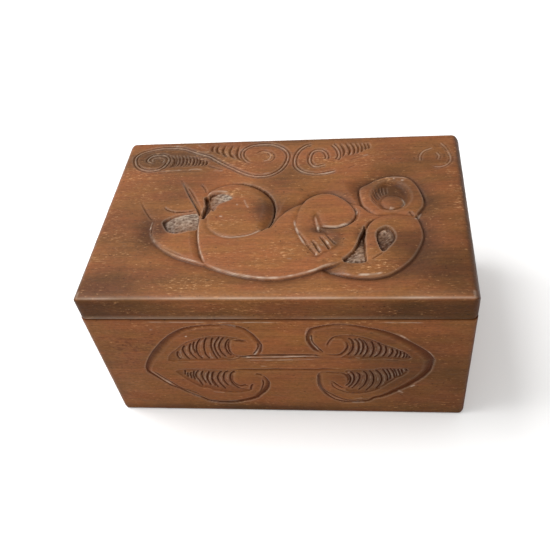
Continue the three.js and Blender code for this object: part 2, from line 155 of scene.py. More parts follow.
def through(points: Points, closed: bool, step: float) -> Field:
    """Draws a smooth line through given points.

    Args:
        points: The places that the line passes, in millimetres.
        closed: Whether it comes back to its start.
        step: About how far apart its samples are.

    Returns:
        One row for each sample.
    """
    p = np.array(points, float)
    if closed:
        ring = np.vstack([p[-1], p, p[0], p[1]])
    else:
        ring = np.vstack([2 * p[0] - p[1], p, 2 * p[-1] - p[-2]])
    rows = []
    for a, b, c, d in zip(ring, ring[1:], ring[2:], ring[3:]):
        count = max(2, math.ceil(float(np.linalg.norm(c - b)) / step))
        k1 = float(np.linalg.norm(b - a)) ** 0.5
        k2 = k1 + float(np.linalg.norm(c - b)) ** 0.5
        k3 = k2 + float(np.linalg.norm(d - c)) ** 0.5
        s = (k1 + np.linspace(0, 1, count, endpoint=False) * (k2 - k1))[:, None]
        a1 = (k1 - s) / k1 * a + s / k1 * b
        a2 = (k2 - s) / (k2 - k1) * b + (s - k1) / (k2 - k1) * c
        a3 = (k3 - s) / (k3 - k2) * c + (s - k2) / (k3 - k2) * d
        b1 = (k2 - s) / k2 * a1 + s / k2 * a2
        b2 = (k3 - s) / (k3 - k1) * a2 + (s - k1) / (k3 - k1) * a3
        rows.append((k2 - s) / (k2 - k1) * b1 + (s - k1) / (k2 - k1) * b2)
    rows.append(p[:1] if closed else p[-1:])
    return np.vstack(rows)


def clouds(u: Field, v: Field, cell_u: float, cell_v: float, seed: int) -> Field:
    """Soft random values from -1 to 1.

    Args:
        u: Places across, in millimetres.
        v: Places down.
        cell_u: The size of a cloud across.
        cell_v: The size of a cloud down.
        seed: Which clouds.

    Returns:
        A value for each place.
    """
    a, b = (u - u.min()) / cell_u, (v - v.min()) / cell_v
    i, j = a.astype(int), b.astype(int)
    values = np.random.default_rng(seed).uniform(-1, 1, (j.max() + 2, i.max() + 2))
    fa, fb = smooth(a - i), smooth(b - j)
    top = values[j, i] * (1 - fa) + values[j, i + 1] * fa
    low = values[j + 1, i] * (1 - fa) + values[j + 1, i + 1] * fa
    return top * (1 - fb) + low * fb


def softened(values: Field, cells: float) -> Field:
    """Blurs a sheet of values.

    Args:
        values: The sheet.
        cells: The spread of the blur, in cells.

    Returns:
        The blurred sheet.
    """
    reach = max(1, math.ceil(cells * 2.5))
    offsets = np.arange(-reach, reach + 1)
    weights = np.exp(-0.5 * (offsets / cells) ** 2)
    weights /= weights.sum()
    for axis in (0, 1):
        padding = [(0, 0), (0, 0)]
        padding[axis] = (reach, reach)
        padded = np.pad(values, padding, mode="edge")
        total = np.zeros_like(values)
        for offset, weight in zip(range(2 * reach + 1), weights):
            window = [slice(None), slice(None)]
            window[axis] = slice(offset, offset + values.shape[axis])
            total += weight * padded[tuple(window)]
        values = total
    return values


@dataclass(frozen=True)
class Stroke:
    """One cut with sloping sides, drawn along a line.

    The bottom leans to the right of the line, as drawn, for a lean above 0 and to its left below 0. The
    line is the right edge of the cut where at_edge is set. swell changes its size along the way.
    """

    points: Points
    width: float
    depth: float
    lean: float = 0.0
    start: float = 0.12
    end: float = 0.12
    floor: float = 0.0
    at_edge: bool = False
    swell: Sequence[float] = (1.0, 1.0)


@dataclass(frozen=True)
class Form:
    """A part of the carving that stands above what is round it.

    It comes out of the ground gently from the first to the second place of its fade.
    """

    outline: Points
    level: float
    drop: float
    round_over: float
    crease: float = 0.0
    crease_width: float = 3.0
    wall: float = 1.0
    fade: tuple[Point, Point] | None = None


@dataclass(frozen=True)
class Hollow:
    """A place dug out with upright walls and a gouged floor.

    The floor rises from its full depth towards the high side.
    """

    outline: Points
    depth: float
    high_side: Point = (0.0, 0.0)
    rise: float = 0.0
    wall: float = 0.9
    rough: float = 0.5
    raw: float = 1.0


class Relief:
    """The heights, the wear and the painted highlights of a carved face, u to the right and v down it."""

    def __init__(self, u: Field, v: Field, cell: float) -> None:
        """Starts from an uncut face.

        Args:
            u: Places across the face, in millimetres.
            v: Places down it.
            cell: The usual distance between two of them.
        """
        self.u, self.v, self.cell = u, v, cell
        self.level = np.zeros_like(u)
        self.cut = np.zeros_like(u)
        self.raw = np.zeros_like(u)
        self.polish_and_highlight = np.zeros_like(u)
        self.bumps = np.zeros_like(u)
        self.ground = np.zeros_like(u)

    def window(self, line: Field, reach: float) -> tuple[slice, slice]:
        """The part of the sheet that lies near a line.

        Args:
            line: The line's samples.
            reach: How near counts, in millimetres.

        Returns:
            Rows and columns.
        """
        across, down = self.u[self.u.shape[0] // 2], self.v[:, self.v.shape[1] // 2]
        low, high = line.min(0) - reach, line.max(0) + reach
        columns = np.searchsorted(across, [low[0], high[0]])
        rows = np.searchsorted(down, [low[1], high[1]])
        return slice(rows[0], rows[1] + 1), slice(columns[0], columns[1] + 1)

    def measure(self, line: Field, where: tuple[slice, slice]) -> tuple[Field, Field]:
        """Measures places against a line.

        Args:
            line: The line's samples.
            where: The part of the sheet to measure.

        Returns:
            The distance, positive on the right of the line, and the share of the line passed.
        """
        u, v = self.u[where], self.v[where]
        best = np.full(u.shape, 1e9)
        side = np.ones_like(u)
        along = np.zeros_like(u)
        count = len(line) - 1
        for i, (a, b) in enumerate(zip(line, line[1:])):
            du, dv = b - a
            run = max(du * du + dv * dv, 1e-9)
            t = np.clip(((u - a[0]) * du + (v - a[1]) * dv) / run, 0, 1)
            off_u, off_v = u - a[0] - t * du, v - a[1] - t * dv
            square = off_u * off_u + off_v * off_v
            nearer = square < best - 1e-9
            best = np.where(nearer, square, best)
            side = np.where(nearer, du * (v - a[1]) - dv * (u - a[0]), side)
            along = np.where(nearer, (i + t) / count, along)
        return np.sqrt(best) * np.where(side < 0, -1.0, 1.0), along

    def inside(self, line: Field, where: tuple[slice, slice]) -> Field:
        """Whether each place of a part of the sheet is inside a closed line."""
        u, v = self.u[where], self.v[where]
        odd = np.zeros(u.shape, bool)
        for a, b in zip(line, line[1:]):
            if a[1] == b[1]:
                continue
            crosses = (a[1] > v) != (b[1] > v)
            odd ^= crosses & (u < (b[0] - a[0]) * (v - a[1]) / (b[1] - a[1]) + a[0])
        return odd

    def depth_inside(self, outline: Points, reach: float) -> tuple[Field, tuple[slice, slice]]:
        """How far inside a closed outline each place near it is.

        Args:
            outline: The outline's places.
            reach: How far outside it matters.

        Returns:
            The distance, positive inside, and the part of the sheet.
        """
        line = through(outline, True, 0.9)
        where = self.window(line, reach)
        distance, _ = self.measure(line, where)
        return np.where(self.inside(line, where), 1.0, -1.0) * abs(distance), where

    def sink_ground(self, edges: Iterable[tuple[Points, float, float]], depth: float, reach: float) -> None:
        """Lowers the ground beside the edges of the figure.

        Args:
            edges: Each edge with its strength at its start and its end.
            depth: How deep the ground is at a full edge.
            reach: How far out it comes up again.
        """
        deepest = np.zeros_like(self.level)
        for points, first, last in edges:
            line = through(points, False, 0.9)
            where = self.window(line, reach)
            distance, along = self.measure(line, where)
            strength = first + (last - first) * smooth(along * 1.4)
            fall = np.clip(1 - abs(distance) / reach, 0, 1) ** 1.7
            deepest[where] = np.maximum(deepest[where], depth * strength * fall)
        self.level -= deepest
        self.ground = deepest / depth

    def add_form(self, form: Form) -> None:
        """Stands one form of the figure on what is there."""
        reach = form.crease_width + form.wall + 0.5
        inward, where = self.depth_inside(form.outline, reach)
        level = self.level[where]
        if form.crease > 0:
            near = np.clip(1 + inward / form.crease_width, 0, 1)
            level = level - form.crease * np.where(inward < 0, near**1.5, 1.0)
        edge = 1 - np.clip(inward / form.round_over, 0, 1)
        top = form.level - form.drop * edge**2
        blend = smooth(inward / form.wall + 0.5)
        if form.fade:
            first, second = np.array(form.fade, float)
            run = second - first
            along = (self.u[where] - first[0]) * run[0] + (self.v[where] - first[1]) * run[1]
            share = along / (run @ run)
            blend = blend * smooth(share)
        self.level[where] = level * (1 - blend) + top * blend
        self.ground[where] *= 1 - blend

    def add_stroke(self, stroke: Stroke) -> None:
        """Cuts one stroke."""
        line = through(stroke.points, False, 0.7)
        where = self.window(line, stroke.width * max(stroke.swell) + self.cell)
        distance, along = self.measure(line, where)
        ends = np.minimum(along / max(stroke.start, 1e-6), (1 - along) / max(stroke.end, 1e-6))
        ease = np.clip(ends, 0, 1) ** 0.7
        swell = np.interp(along, np.linspace(0, 1, len(stroke.swell)), stroke.swell)
        x = distance / (stroke.width / 2 * swell * (0.45 + 0.55 * ease)) + (1.0 if stroke.at_edge else 0.0)
        left = (x + 1) / (1 + stroke.lean)
        right = (1 - x) / (1 - stroke.lean)
        share = np.clip(np.minimum(left, right), 0, 1)
        if stroke.floor > 0:
            share = np.clip(share / (1 - stroke.floor), 0, 1)
        profile = stroke.depth * swell**0.5 * ease * share**1.15
        self.cut[where] = np.maximum(self.cut[where], profile)

    def add_double(self, points: Points, gap: float, width: float, depth: float) -> None:
        """Cuts two lines side by side that leave a thin ridge between them.

        Args:
            points: Where the ridge runs.
            gap: How far apart the lines are.
            width: The width of each.
            depth: The depth of each.
        """
        line = through(points, False, 0.7)
        where = self.window(line, gap + width)
        distance, along = self.measure(line, where)
        ease = np.clip(np.minimum(along, 1 - along) / 0.03, 0, 1)
        share = np.clip(1 - abs(abs(distance) - gap / 2) / (width / 2), 0, 1)
        self.cut[where] = np.maximum(self.cut[where], depth * ease * share)
        # The ridge between the lines gets a painted highlight
        ridge = np.clip(1 - abs(distance) / (gap * 0.42), 0, 1) * ease
        self.polish_and_highlight[where] = np.maximum(self.polish_and_highlight[where], 0.25 * ridge)

    def add_hollow(self, hollow: Hollow) -> None:
        """Digs one hollow and leaves its floor rough."""
        inward, where = self.depth_inside(hollow.outline, hollow.wall + 1.0)
        u, v = self.u[where], self.v[where]
        centre = np.array(hollow.outline, float).mean(0)
        toward = np.array(hollow.high_side, float) - centre
        length = max(float(np.linalg.norm(toward)), 1e-6)
        share = ((u - centre[0]) * toward[0] + (v - centre[1]) * toward[1]) / length**2
        depth = hollow.depth - hollow.rise * smooth(share * 0.5 + 0.5)
        marks = clouds(u, v, 1.6, 1.1, seed=11) + 0.7 * clouds(u + v, v, 0.9, 2.4, seed=12)
        inner = smooth(inward / 1.6)
        depth = depth + hollow.rough * marks * inner
        blend = smooth(inward / hollow.wall + 0.5)
        self.cut[where] = np.maximum(self.cut[where], depth * blend)
        # Painted shade: the bare floor is paler towards its high side and darker at its deep side
        light = smooth(share * 0.45 + 0.55) if hollow.rise > 0 else 1.0
        self.raw[where] = np.maximum(self.raw[where], hollow.raw * light * smooth(inward / 1.2))

    def add_polish_and_highlight(self, points: Points, width: float, amount: float) -> None:
        """Paints a line lighter, as wear and as a painted highlight.

        Args:
            points: Where the lighter line runs.
            width: Its width.
            amount: How strongly, up to 1.
        """
        line = through(points, False, 0.9)
        where = self.window(line, width)
        distance, along = self.measure(line, where)
        ease = smooth(np.minimum(along, 1 - along) / 0.2)
        share = smooth(1 - abs(distance) / (width / 2)) * ease
        self.polish_and_highlight[where] = np.maximum(self.polish_and_highlight[where], amount * share)

    def add_unevenness(self, waves: Iterable[tuple[float, float, float, int]]) -> None:
        """Leaves the face a little uneven, as a hand plane does.

        Args:
            waves: Height, size across, size down and seed of each set of soft waves.
        """
        self.bumps = sum(height * clouds(self.u, self.v, across, down, seed)
                         for height, across, down, seed in waves)

    def heights(self) -> Field:
        """The finished heights, in millimetres from the uncut face."""
        return self.level - self.cut + self.bumps

    def patchy_polish_and_highlight(self) -> Field:
        """The rubbed lines and painted highlights, stronger in some places than in others."""
        patches = smooth(clouds(self.u, self.v, 4.5, 2.2, seed=41) * 1.3 + 0.45)
        return self.polish_and_highlight * (0.35 + 0.65 * patches)

    def hollowness(self, spread: float) -> Field:
        """How far each place lies below what is round it, in millimetres."""
        heights = self.heights()
        return softened(heights, spread / self.cell) - heights

    def filled(self, spread: float, depth: float) -> Field:
        """How much dirt and painted shade each place gets, fully where it lies this deep below what is
        round it.
        """
        return np.clip(self.hollowness(spread) / depth, 0, 1)

    def rubbed(self, share: float) -> Field:
        """How light each place is painted: the worn high edges by a share, and the rubbed lines with their
        painted highlights.
        """
        return np.clip(-self.hollowness(0.6) / 0.3, 0, 1) * share + self.patchy_polish_and_highlight()


# The figure on the lid, u from the left end and v from the back edge

JAW = path("23.4,65.8 27.9,73.7 32.5,80.7 35.9,85 35.6,88.8 35.8,93.7 40,103.2 55.7,116.6 64.2,120.5 "
    "77.5,124.8")
BELLY = path("77.5,124.8 84,128.4 99.7,134 115.7,137.2 125.5,137 139.6,133.4 144.6,131.2 149.6,128 "
    "162.8,122.8")
NECK = path("66.3,81.6 66.3,87.9 68,100.9 72.4,116.4 77.3,124.7")
TAIL = path("150.1,128 153.8,130.6 165.2,135 173.3,136.3 180.3,136.3 188.3,134.3 195.4,129.6 "
    "201.8,123.2 206.2,115.9 210.6,102.3 208.7,89.5 206.9,85.3")
RING = path("208.5,80.7 212.1,74.3 212.8,69.9 209,54.9 202.6,46 197,44.4 191.3,44.5 186,45.8 181,48.5 "
    "176,52.4 171.9,55.2 170.5,58.8 173.2,73.7 176.1,77.6 179,81 181.2,82.7")
SHOULDER = path("166.1,72.7 163.4,69.4 152.8,61.4 144.7,61.3 137.9,65.3 135,68.8 132.4,70.5 "
    "124.5,76.8 121.7,80.5 118.9,84.1 114.7,92")
CURL = path("113,91 115,86.2 115.9,74.5 112.4,63.3 103.3,54.1 93.2,49.5 87.1,48.9 81.2,50 76.7,52 "
    "72.9,54.8")

GROUND_EDGES = (
    (JAW, 0.0, 1.0), (BELLY, 1.0, 1.0), (TAIL, 1.0, 1.0), (RING, 1.0, 0.9), (SHOULDER, 0.9, 0.9),
    (CURL, 1.0, 0.1),
)

HEAD_FORM = Form(
    JAW + NECK[-2::-1] + path("66.6,79.5 65.7,74.5 58.8,59.1 55.3,54 51.3,47.8 47.2,42.6 36.6,44.3 "
        "25.9,53.2"),
    level=-0.1, drop=0.7, round_over=5.0, wall=1.8, fade=path("34.4,50.4 46.4,77.1"),
)
BODY_FORM = Form(
    BELLY + path("161.8,120.7 167.8,113.5 170.2,107.5 171.7,101.5 176.3,91.9 179.6,87.5 184.8,84.1 "
        "180.5,82 176.1,78.4 173,74.5") + SHOULDER[1:] + path("112.8,91.9 107.8,92.3 93.7,84.1 "
        "75.3,83.7") + NECK[:-1],
    level=-0.15, drop=0.8, round_over=6.0, wall=1.8,
)
TAIL_FORM = Form(
    TAIL + path("202.1,83.5 191.4,81.9 182.4,84.6 178.8,87.8 176.1,92.2 174.9,97.7 174.7,104.6 "
        "175.5,120.9 175.2,124.1 172.1,124.3 168,124 162.9,123.1 158.3,124.7 153.7,126.2"),
    level=-0.1, drop=1.1, round_over=6.0, crease=0.5, crease_width=2.5, wall=1.8,
    fade=path("150.8,130.4 164.5,128.5"),
)
RING_FORM = Form(
    RING + path("184.1,83.6 188.4,83.4 192.7,83 197.7,84 202.6,86.4 205.4,86"),
    level=0.0, drop=1.0, round_over=5.0, crease=0.3, crease_width=2.0, wall=1.8,
)
CURL_FORM = Form(
    CURL + path("70.1,57.6 68.6,61.7 70.2,67.6 72.6,72.5 73,77.3 72.3,81.7 72.3,86.7 74.2,92.3 "
        "77.8,96.6 88.6,101.1 101.7,99 106.9,96.6 110.6,93.8"),
    level=0.0, drop=0.45, round_over=2.4, crease=0.8, crease_width=4.0, wall=1.5,
)
ARM_FORM = Form(
    path("143.6,80.7 148.1,92.1 150.5,93.6 157.9,93.2 164.5,89.9 166.7,87.3 168.2,84 168.8,80.2 "
        "168.1,76.3 163.4,69.4 152.8,61.4 144.7,61.3 137.9,65.3 135,68.8 132,77.7 131.1,92.1 "
        "131.6,95.4 135.8,103.8 139.6,111.5 145.8,118.6 149.3,115.7 155.4,112 157.4,109.2 151.1,99.8 "
        "146.6,97.9 145,97.6 143.8,93.8 141.7,84.8"),
    level=0.1, drop=0.8, round_over=4.0, crease=1.0, crease_width=4.5, wall=1.6,
)
SLIT_RIDGE = Form(
    path("143.2,83.4 144.1,85.3 145.6,93 146.9,97.6 146,98.8 144,92.9 142.8,84.6"),
    level=-0.35, drop=0.3, round_over=0.9, wall=0.8,
)

MOUTH = Hollow(
    path("43.6,86.7 44.9,85 50.6,81 55,79.4 59.7,78.5 64.9,78 66.5,79.9 66.6,91.2 64.8,93.6 61.6,95 "
        "56.3,96.8 51.7,96.9 48.5,95.3 45.9,92"),
    wall=0.8, depth=4.6, high_side=(56.1, 75), rise=4.0, rough=0.4,
)
BROW = Hollow(
    path("70.5,64.4 71,60.5 77.6,58.2 85.5,61.7 87,64.3 84.5,66.6 81.2,67.9 78.4,69.6 76.5,72.3 "
        "75.5,76.4 73,72.9 71.4,68.5"),
    depth=3.2, high_side=(85.5, 63.7), rise=2.6, rough=0.35,
)
THROAT = Hollow(
    path("67.8,62.8 69.3,62.4 72.9,72.5 72.6,76.7 69.3,83.7 68.4,80.4 69,76.2 69.3,70.7"),
    depth=3.6, rough=0.3, raw=0.15,
)
EYE = Hollow(
    path("187.7,93.9 190,94.9 192.3,98.5 193.2,102.7 192.4,106.5 188.1,113.1 186,115.6 182.7,107 "
        "182,101.7 182.5,97.8 184.7,95.2"),
    depth=4.0, high_side=(190, 94.1), rise=2.0, rough=0.5, raw=0.32,
)
CROOK = Hollow(
    path("174.5,92.9 175.1,96.9 174.6,103.1 175.3,116.6 175.4,123.5 172.1,124.1 163,122.8 162,121 "
        "164,118.6 167.8,113.8 170.2,107.8 171.7,101.8 173.5,96.8"),
    depth=4.4, high_side=(173.1, 122.3), rise=2.4, rough=0.65, raw=0.55,
)
BOWL = path("177.9,61.9 179.8,57.3 182.5,53.6 187.4,50 193.1,49.4 198.7,51.2 202.3,55.8 204.6,61.7 "
    "205,67.4 203.5,72.1 200.8,76.1 197.1,78.5 192.8,79.8 188.4,79.7 184.8,78.4 182.2,74.8 179.6,71.1 "
    "177.9,66.8")
BOSS = (192.2, 69.9)
BOSS_RADIUS = 7.6
BOSS_HEIGHT = 2.3
BOWL_DEPTH = 2.5
BOWL_FLOOR = -3.1
CURL_SLOPE_WIDTH = 8.0
CURL_SLOPE_DEPTH = 3.2
# The low place between the body and the tail: middle, half sizes, depth
ELBOW_DIP = ((153.5, 127.5), 7.0, 6.0, 1.0)

# Lines cut into the figure: places, width, depth, lean
FIGURE_STROKES = (
    Stroke(path("46.6,42.2 51.5,50.4 56.5,59.7 64.9,74.7 67.2,79.9 68.4,83.8"), 2.6, 1.9, 0.5, start=0.5,
        end=0.1),
    Stroke(path("52.7,50.4 56.6,56.4 65.1,72 67.8,77.9"), 1.2, 0.8),
    Stroke(path("62.2,49.1 65.2,52.7 68.2,57.8"), 1.6, 0.8),
    Stroke(path("40.6,71.6 44.3,75.2 50.7,77.4 61.7,76.5 63.6,75.4"), 1.8, 1.0, -0.45),
    Stroke(path("77.7,124.2 74.7,118.2 69.7,103.3 67.3,86.3 67.2,81.3"), 5.6, 1.5, 0.7, start=0.2,
        end=0.15, at_edge=True),
    Stroke(path("23.4,65.8 27.9,73.7 32.5,80.7 35.9,85"), 1.1, 0.7, start=0.3, end=0.1),
    Stroke(path("160.9,67.3 165.1,71.9 168.6,77.9 169.2,83.1 167.2,88 163.1,91.6 158.3,93.7 "
        "151.8,94.3 146.3,93.2"), 2.0, 1.3, start=0.2, end=0.2),
    Stroke(path("37.4,83.1 37,89.2 38.7,100 45.7,108.2 63.1,118.2 70.3,120.3"), 1.2, 0.7, start=0.1,
        end=0.3),
    Stroke(path("132.4,96.4 138.4,107 140,110.6 144.2,116.8"), 1.3, 1.0),
    Stroke(path("141.6,105.3 144.2,109.4 145.9,112.9 147.9,115.8"), 2.1, 1.7, start=0.3, end=0.03),
    Stroke(path("146.4,101.5 149.3,105.9 153.2,112.8"), 2.2, 1.8, start=0.3, end=0.03),
    Stroke(path("150,99.1 154.9,106.2 157.1,108.7"), 1.9, 1.4, start=0.3, end=0.03),
    Stroke(path("139.6,109.3 143.2,115.1 145.2,117.7"), 1.6, 1.2),
    Stroke(path("168.6,76.3 170,79.2 170,84.1 168.6,88.3"), 1.6, 0.8),
    Stroke(path("180.8,86.3 177.3,89.6 175.4,93.4 174.7,98.3"), 2.6, 1.5, -0.4, start=0.3, end=0.3),
    Stroke(path("161.8,104.3 162.2,104.7"), 1.4, 1.0), Stroke(path("125.3,97.2 125.7,97.7"), 1.3, 0.9),
    Stroke(path("185.7,116.5 179.1,122"), 1.6, 0.8),
    Stroke(path("170.4,57.6 170.5,62.8 173,73.9 175.9,77.9"), 1.4, 0.8),
    Stroke(path("206.9,51.5 209.7,56.6 212.5,66.5 212.6,71 211.3,75.3"), 2.4, 1.0, 0.3, start=0.4,
        end=0.3),
    Stroke(path("202.4,80.5 205.2,84"), 2.4, 1.2),
)
BOWL_LINES = paths(
    "179.1,58.5 180.9,62.6 183.7,67", "180.9,57.1 182.6,62.1 184.6,66.2",
    "183.6,54.8 184.1,59.2 185.3,63.3", "185.5,54 185.8,58.1 186.7,62.2",
    "178.5,63.1 180.2,66.6 182.7,70", "188.1,54.1 188.1,57.6 188.7,61.1",
    "178.7,67.1 180.2,70 182.3,72.8",
)

# The band of spirals along the back edge
SPIRAL_LINES = paths(
    "24.2,25.3 21,23.5 18.4,20.7 20.5,16.1 27,14.6 30.3,15.6 32.8,17.9 33.9,21.4 31.8,28.7 28.5,31.6 "
        "20.9,32.6 13.9,29.3 10.6,25.1 8.9,20.3 8.8,16.6 10.4,13.7 13.4,11.1 23.2,7.6 33.4,6.8 "
        "43.6,8.4 48.5,10.9 59.8,16.6 64.1,18.6 68.7,22.3 77.6,29.1 94.4,39.9 102.2,42 108.9,41.1 "
        "114.6,37.3 118.9,30.3 120.6,21.2 119.8,16.6 117.8,12.9 114.4,9.6 110.2,7.1 106.1,6 96.6,5.9 "
        "92.7,7.1 87.7,11.6 87.3,17.8 90.9,24.2 93.5,26.6 96,27.8",
    "136.8,7.5 133.3,8.2 128.2,13.5 125.6,23.3 127,32.4 132.1,38 140.1,40.8 147.5,40.2 155.2,37.8",
    "147.7,24.9 148.1,21.4 146.7,17.3 144.5,14.8 141,14.1 138.3,15.3 136.6,18.6 136.4,27.4 140.4,32.5 "
        "147.5,30.9",
    "151.5,8.1 153.9,11.4 155.8,15.9 156.5,20.1 156,23.4 154.8,25.5",
)
FAINT_LINES = paths(
    "220.7,15.6 215,18.6 212.2,23.5 211.7,29.3",
    "226.6,9.9 230.1,16.3 232.3,28.4 230.3,33.2 226.9,35.8 223.2,36.6 219.7,35.5",
    "223.2,20.8 224.9,24.4 223.9,28.4", "22.2,22.5 21.9,19.6 25.2,18.1 28.8,18.7 30.7,21.2 29.9,23.9",
    "102,14 105.7,15.1 107.7,18 107.7,21.8 106,24.2 103.4,25",
)
BAND_NOTCHES = paths(
    "34.3,15.8 37.5,19.5 38.4,22.9 37.9,26.9 36,30.2", "37.5,15.6 39.4,19.6 39.4,26.7 38.2,29.6",
    "40,15.8 41.6,19.7 42.1,23.1 41.7,26.4 40.5,29.1", "42.6,16.1 44.5,19.8 44.5,26.6 43.3,29.2",
    "45.4,16.6 47.1,20.2 47,27 45.7,29.3", "48,17 49.7,20.4 49.5,27.1 48.2,29.4",
    "50.7,17.4 52.5,20.8 52.2,27.2 50.8,29.2", "53.4,18.3 54.9,21.6 54.4,27.3 53.2,29.1",
    "56.1,19.5 57.3,22.4 56.8,27.4 55.6,28.9", "58.7,20.8 59.8,23.2 59.9,25.5 59.2,27.5 58.1,28.6",
    "61.3,22.2 62.2,24.3 62.3,26.3 61.5,27.8 60.5,28.6", "69.2,4.9 67.3,8.5 68.2,12.3 71,15.6",
    "73.7,5.2 72.2,9.4 72.4,13 74.6,17.3 77.5,20", "79.2,5 77.7,9 77.3,12.9 78.7,17 83.8,22.7",
    "84.1,5.7 83,9.7 82.8,14.6 84,19.5 86.8,22.9 89.6,25", "65.3,4.5 63.8,7.5 64,10.5 65.8,13.1",
    "156.1,6.9 158.6,11.6 159.6,16 159.1,20.3 158.1,23.6",
    "160.4,6.8 162.3,10.5 163.6,14.7 163.3,18.5 162.2,21.9",
    "163.8,6.9 165.8,10.2 166.8,14 166.5,17.9 165.3,21.3",
    "167.3,7 168.9,9.9 169.6,13.4 169.3,17.1 168.3,20.1",
    "170.4,7.2 171.7,9.6 172.3,12.7 171.9,15.9 171,18.4", "173.2,7.4 174.3,9.7 174.8,12.5 174.4,15.4",
    "175.7,7.6 176.6,9.7 176.9,12.1 176.5,14.2",
)
FAINT_STROKES = (
    Stroke(path("97.4,16.7 99.1,13.9 102.1,12.6 106.1,13.5 109.1,16.2 110.8,20 110.2,23.2 107.7,25.8 "
        "104.3,26.6"), 2.0, 0.8),
    Stroke(path("136.1,15.9 134.3,19.8 134.5,25.2 136,29.8 138.9,33.2"), 1.6, 0.6),
    Stroke(path("162.3,27.3 167.9,24.7 172.3,22.5 176.8,21.6"), 1.8, 0.4),
    Stroke(path("163,35.4 165,33.7 167.6,32.4"), 1.6, 0.5),
    Stroke(path("193.1,25.2 194.4,26"), 1.8, 0.5), Stroke(path("197.8,26.4 198.7,27.3"), 1.6, 0.5),
    Stroke(path("207.8,25.1 208.7,28"), 1.6, 0.4),
    Stroke(path("25.6,35.7 34.1,35.4 42.4,34.6 61.4,34.2"), 2.4, 0.4),
    Stroke(path("63,28.5 68.4,30.6 72.6,32.6 76.3,33.9"), 2.2, 0.6),
    Stroke(path("44.5,16.7 51.8,16.3 56.3,17.2 61.1,19.5"), 1.4, 0.4),
)

# Lines painted lighter, as wear and as painted highlights on rims: places, width, strength
POLISHED_AND_HIGHLIGHT_LINES = (
    (path("77.7,124.2 72.1,111.8 68.1,94.5 67.3,86.3"), 1.2, 0.8), (path("48.4,45.4 65,76.4"), 1.3, 0.7),
    (path("36.2,93.8 37.8,98.7 43.7,106.7 56,116.3 77.4,124.5"), 1.3, 0.6),
    (path("36.3,85.5 36.3,93.8"), 1.2, 0.8),
    (path("77.4,124.5 90.7,130.8 108.2,135.4 125.4,135.9 144.6,130.1 149.6,127 158.2,123.6"), 1.7, 0.85),
    (path("77.9,96.9 83,99.9 89.8,101.5 102.8,99.1 111.6,93.2"), 1.2, 0.9),
    (path("69.1,61.4 71.5,57.7 77.4,56.8 83.6,58.1"), 1.6, 0.9),
    (path("95.4,67.5 97,72.2 98.6,74.5"), 1.1, 0.8), (path("80.1,81.9 82.5,82.7"), 1.2, 0.8),
    (path("170.2,134.3 180.3,134.1 186.3,132.4"), 1.7, 1.0), (path("152.8,130.9 167.2,134.3"), 1.2, 0.5),
    (path("129.6,85.4 131,92.7 136.8,106.6 139,110.3"), 1.6, 1.0),
    (path("168.3,75.3 169.5,79 168.6,81.5"), 1.4, 0.9),
    (path("142.5,83.3 145.5,91.8 146.2,96.2"), 1.2, 0.7),
    (path("145.9,91.8 151.2,92.9 157.7,92.7 163.1,90"), 1.3, 0.8),
    (path("190.4,75 192.8,76.4"), 2.6, 1.0), (path("198.5,66.8 199.5,70.7 197.5,74.5"), 1.4, 0.8),
    (path("205.4,87.3 207.4,85 208.4,81.8"), 1.6, 0.8), (path("185.7,96.3 188.1,98"), 1.4, 0.6),
    (path("179.4,47.8 186.4,46.2 198.9,46.7 203.4,48.3"), 1.6, 0.5),
    (path("143.3,83.9 146,97.8"), 1.5, 1.0),
    (path("153.4,93.1 157.9,92.9 161,91.5 164.8,90.1 166.6,88.3"), 1.4, 0.9),
    (path("167.8,75.5 169,78.7 169.4,82.1"), 1.5, 0.9), (path("145.7,110.7 147.7,114.9"), 1.3, 0.9),
    (path("150.6,105.5 152.8,109.5"), 1.4, 0.8), (path("144.9,116.6 145.7,117.5 146.3,117.3"), 1.6, 0.9),
    (path("147.4,109 149.7,110.8"), 1.6, 0.7), (path("210.1,80.8 208,85 205.7,87.7"), 1.8, 1.0),
    (path("197.5,64.6 200.1,71.7 198.4,75.1"), 1.5, 0.9), (path("189.9,76.6 193.8,75.3"), 1.6, 0.9),
    (path("171.5,55.4 176,52.6 181,48.6 186,46"), 1.6, 0.6), (path("198,49.6 200.2,49.9"), 1.6, 0.8),
    (path("193.5,46.9 193.8,48.4"), 1.6, 0.8), (path("104.2,39.5 109.4,38.3"), 2.4, 0.48),
    (path("85.9,21.5 85,15.3 86.7,10.4 89.2,7.9"), 3, 0.36),
    (path("72.8,15.4 75.1,17.9 77.4,18.3"), 1.8, 0.48),
    (path("79.1,18.1 81.4,20.6 83.3,21.3"), 1.8, 0.48), (path("140.9,41 147.5,40.4 155,37.9"), 2.2, 0.6),
    (path("141.9,32.5 147.1,31"), 1.8, 0.48), (path("156.6,24.6 158.1,22.9"), 2, 0.54),
    (path("164.2,21 165.2,17.6"), 1.6, 0.54), (path("169.1,19.7 169.5,16.4"), 1.6, 0.48),
    (path("174.9,13.7 175.5,14.2"), 1.8, 0.36), (path("172.7,22.2 176.8,21.2"), 1.6, 0.42),
    (path("94.7,66 96.6,70.9 99,74.3"), 1.3, 0.9), (path("89.7,70.9 91.2,71.2"), 1.2, 0.7),
    (path("29.5,34 46.4,33"), 1.6, 0.48), (path("49.9,33.6 54.7,32.3 61.3,33.4"), 1.6, 0.36),
    (path("67.9,34.5 76.1,34.8"), 1.8, 0.42), (path("35.3,4.5 41,5"), 1.6, 0.48),
    (path("52.3,3.2 56.7,7.8 62,10.4"), 2.2, 0.25), (path("56.6,11.6 59.8,12.8 62.4,12.2"), 2.2, 0.36),
    (path("127.5,120.8 131.2,121.6"), 1.6, 0.42), (path("219.8,89.6 220.3,90.1"), 1.4, 0.48),
)
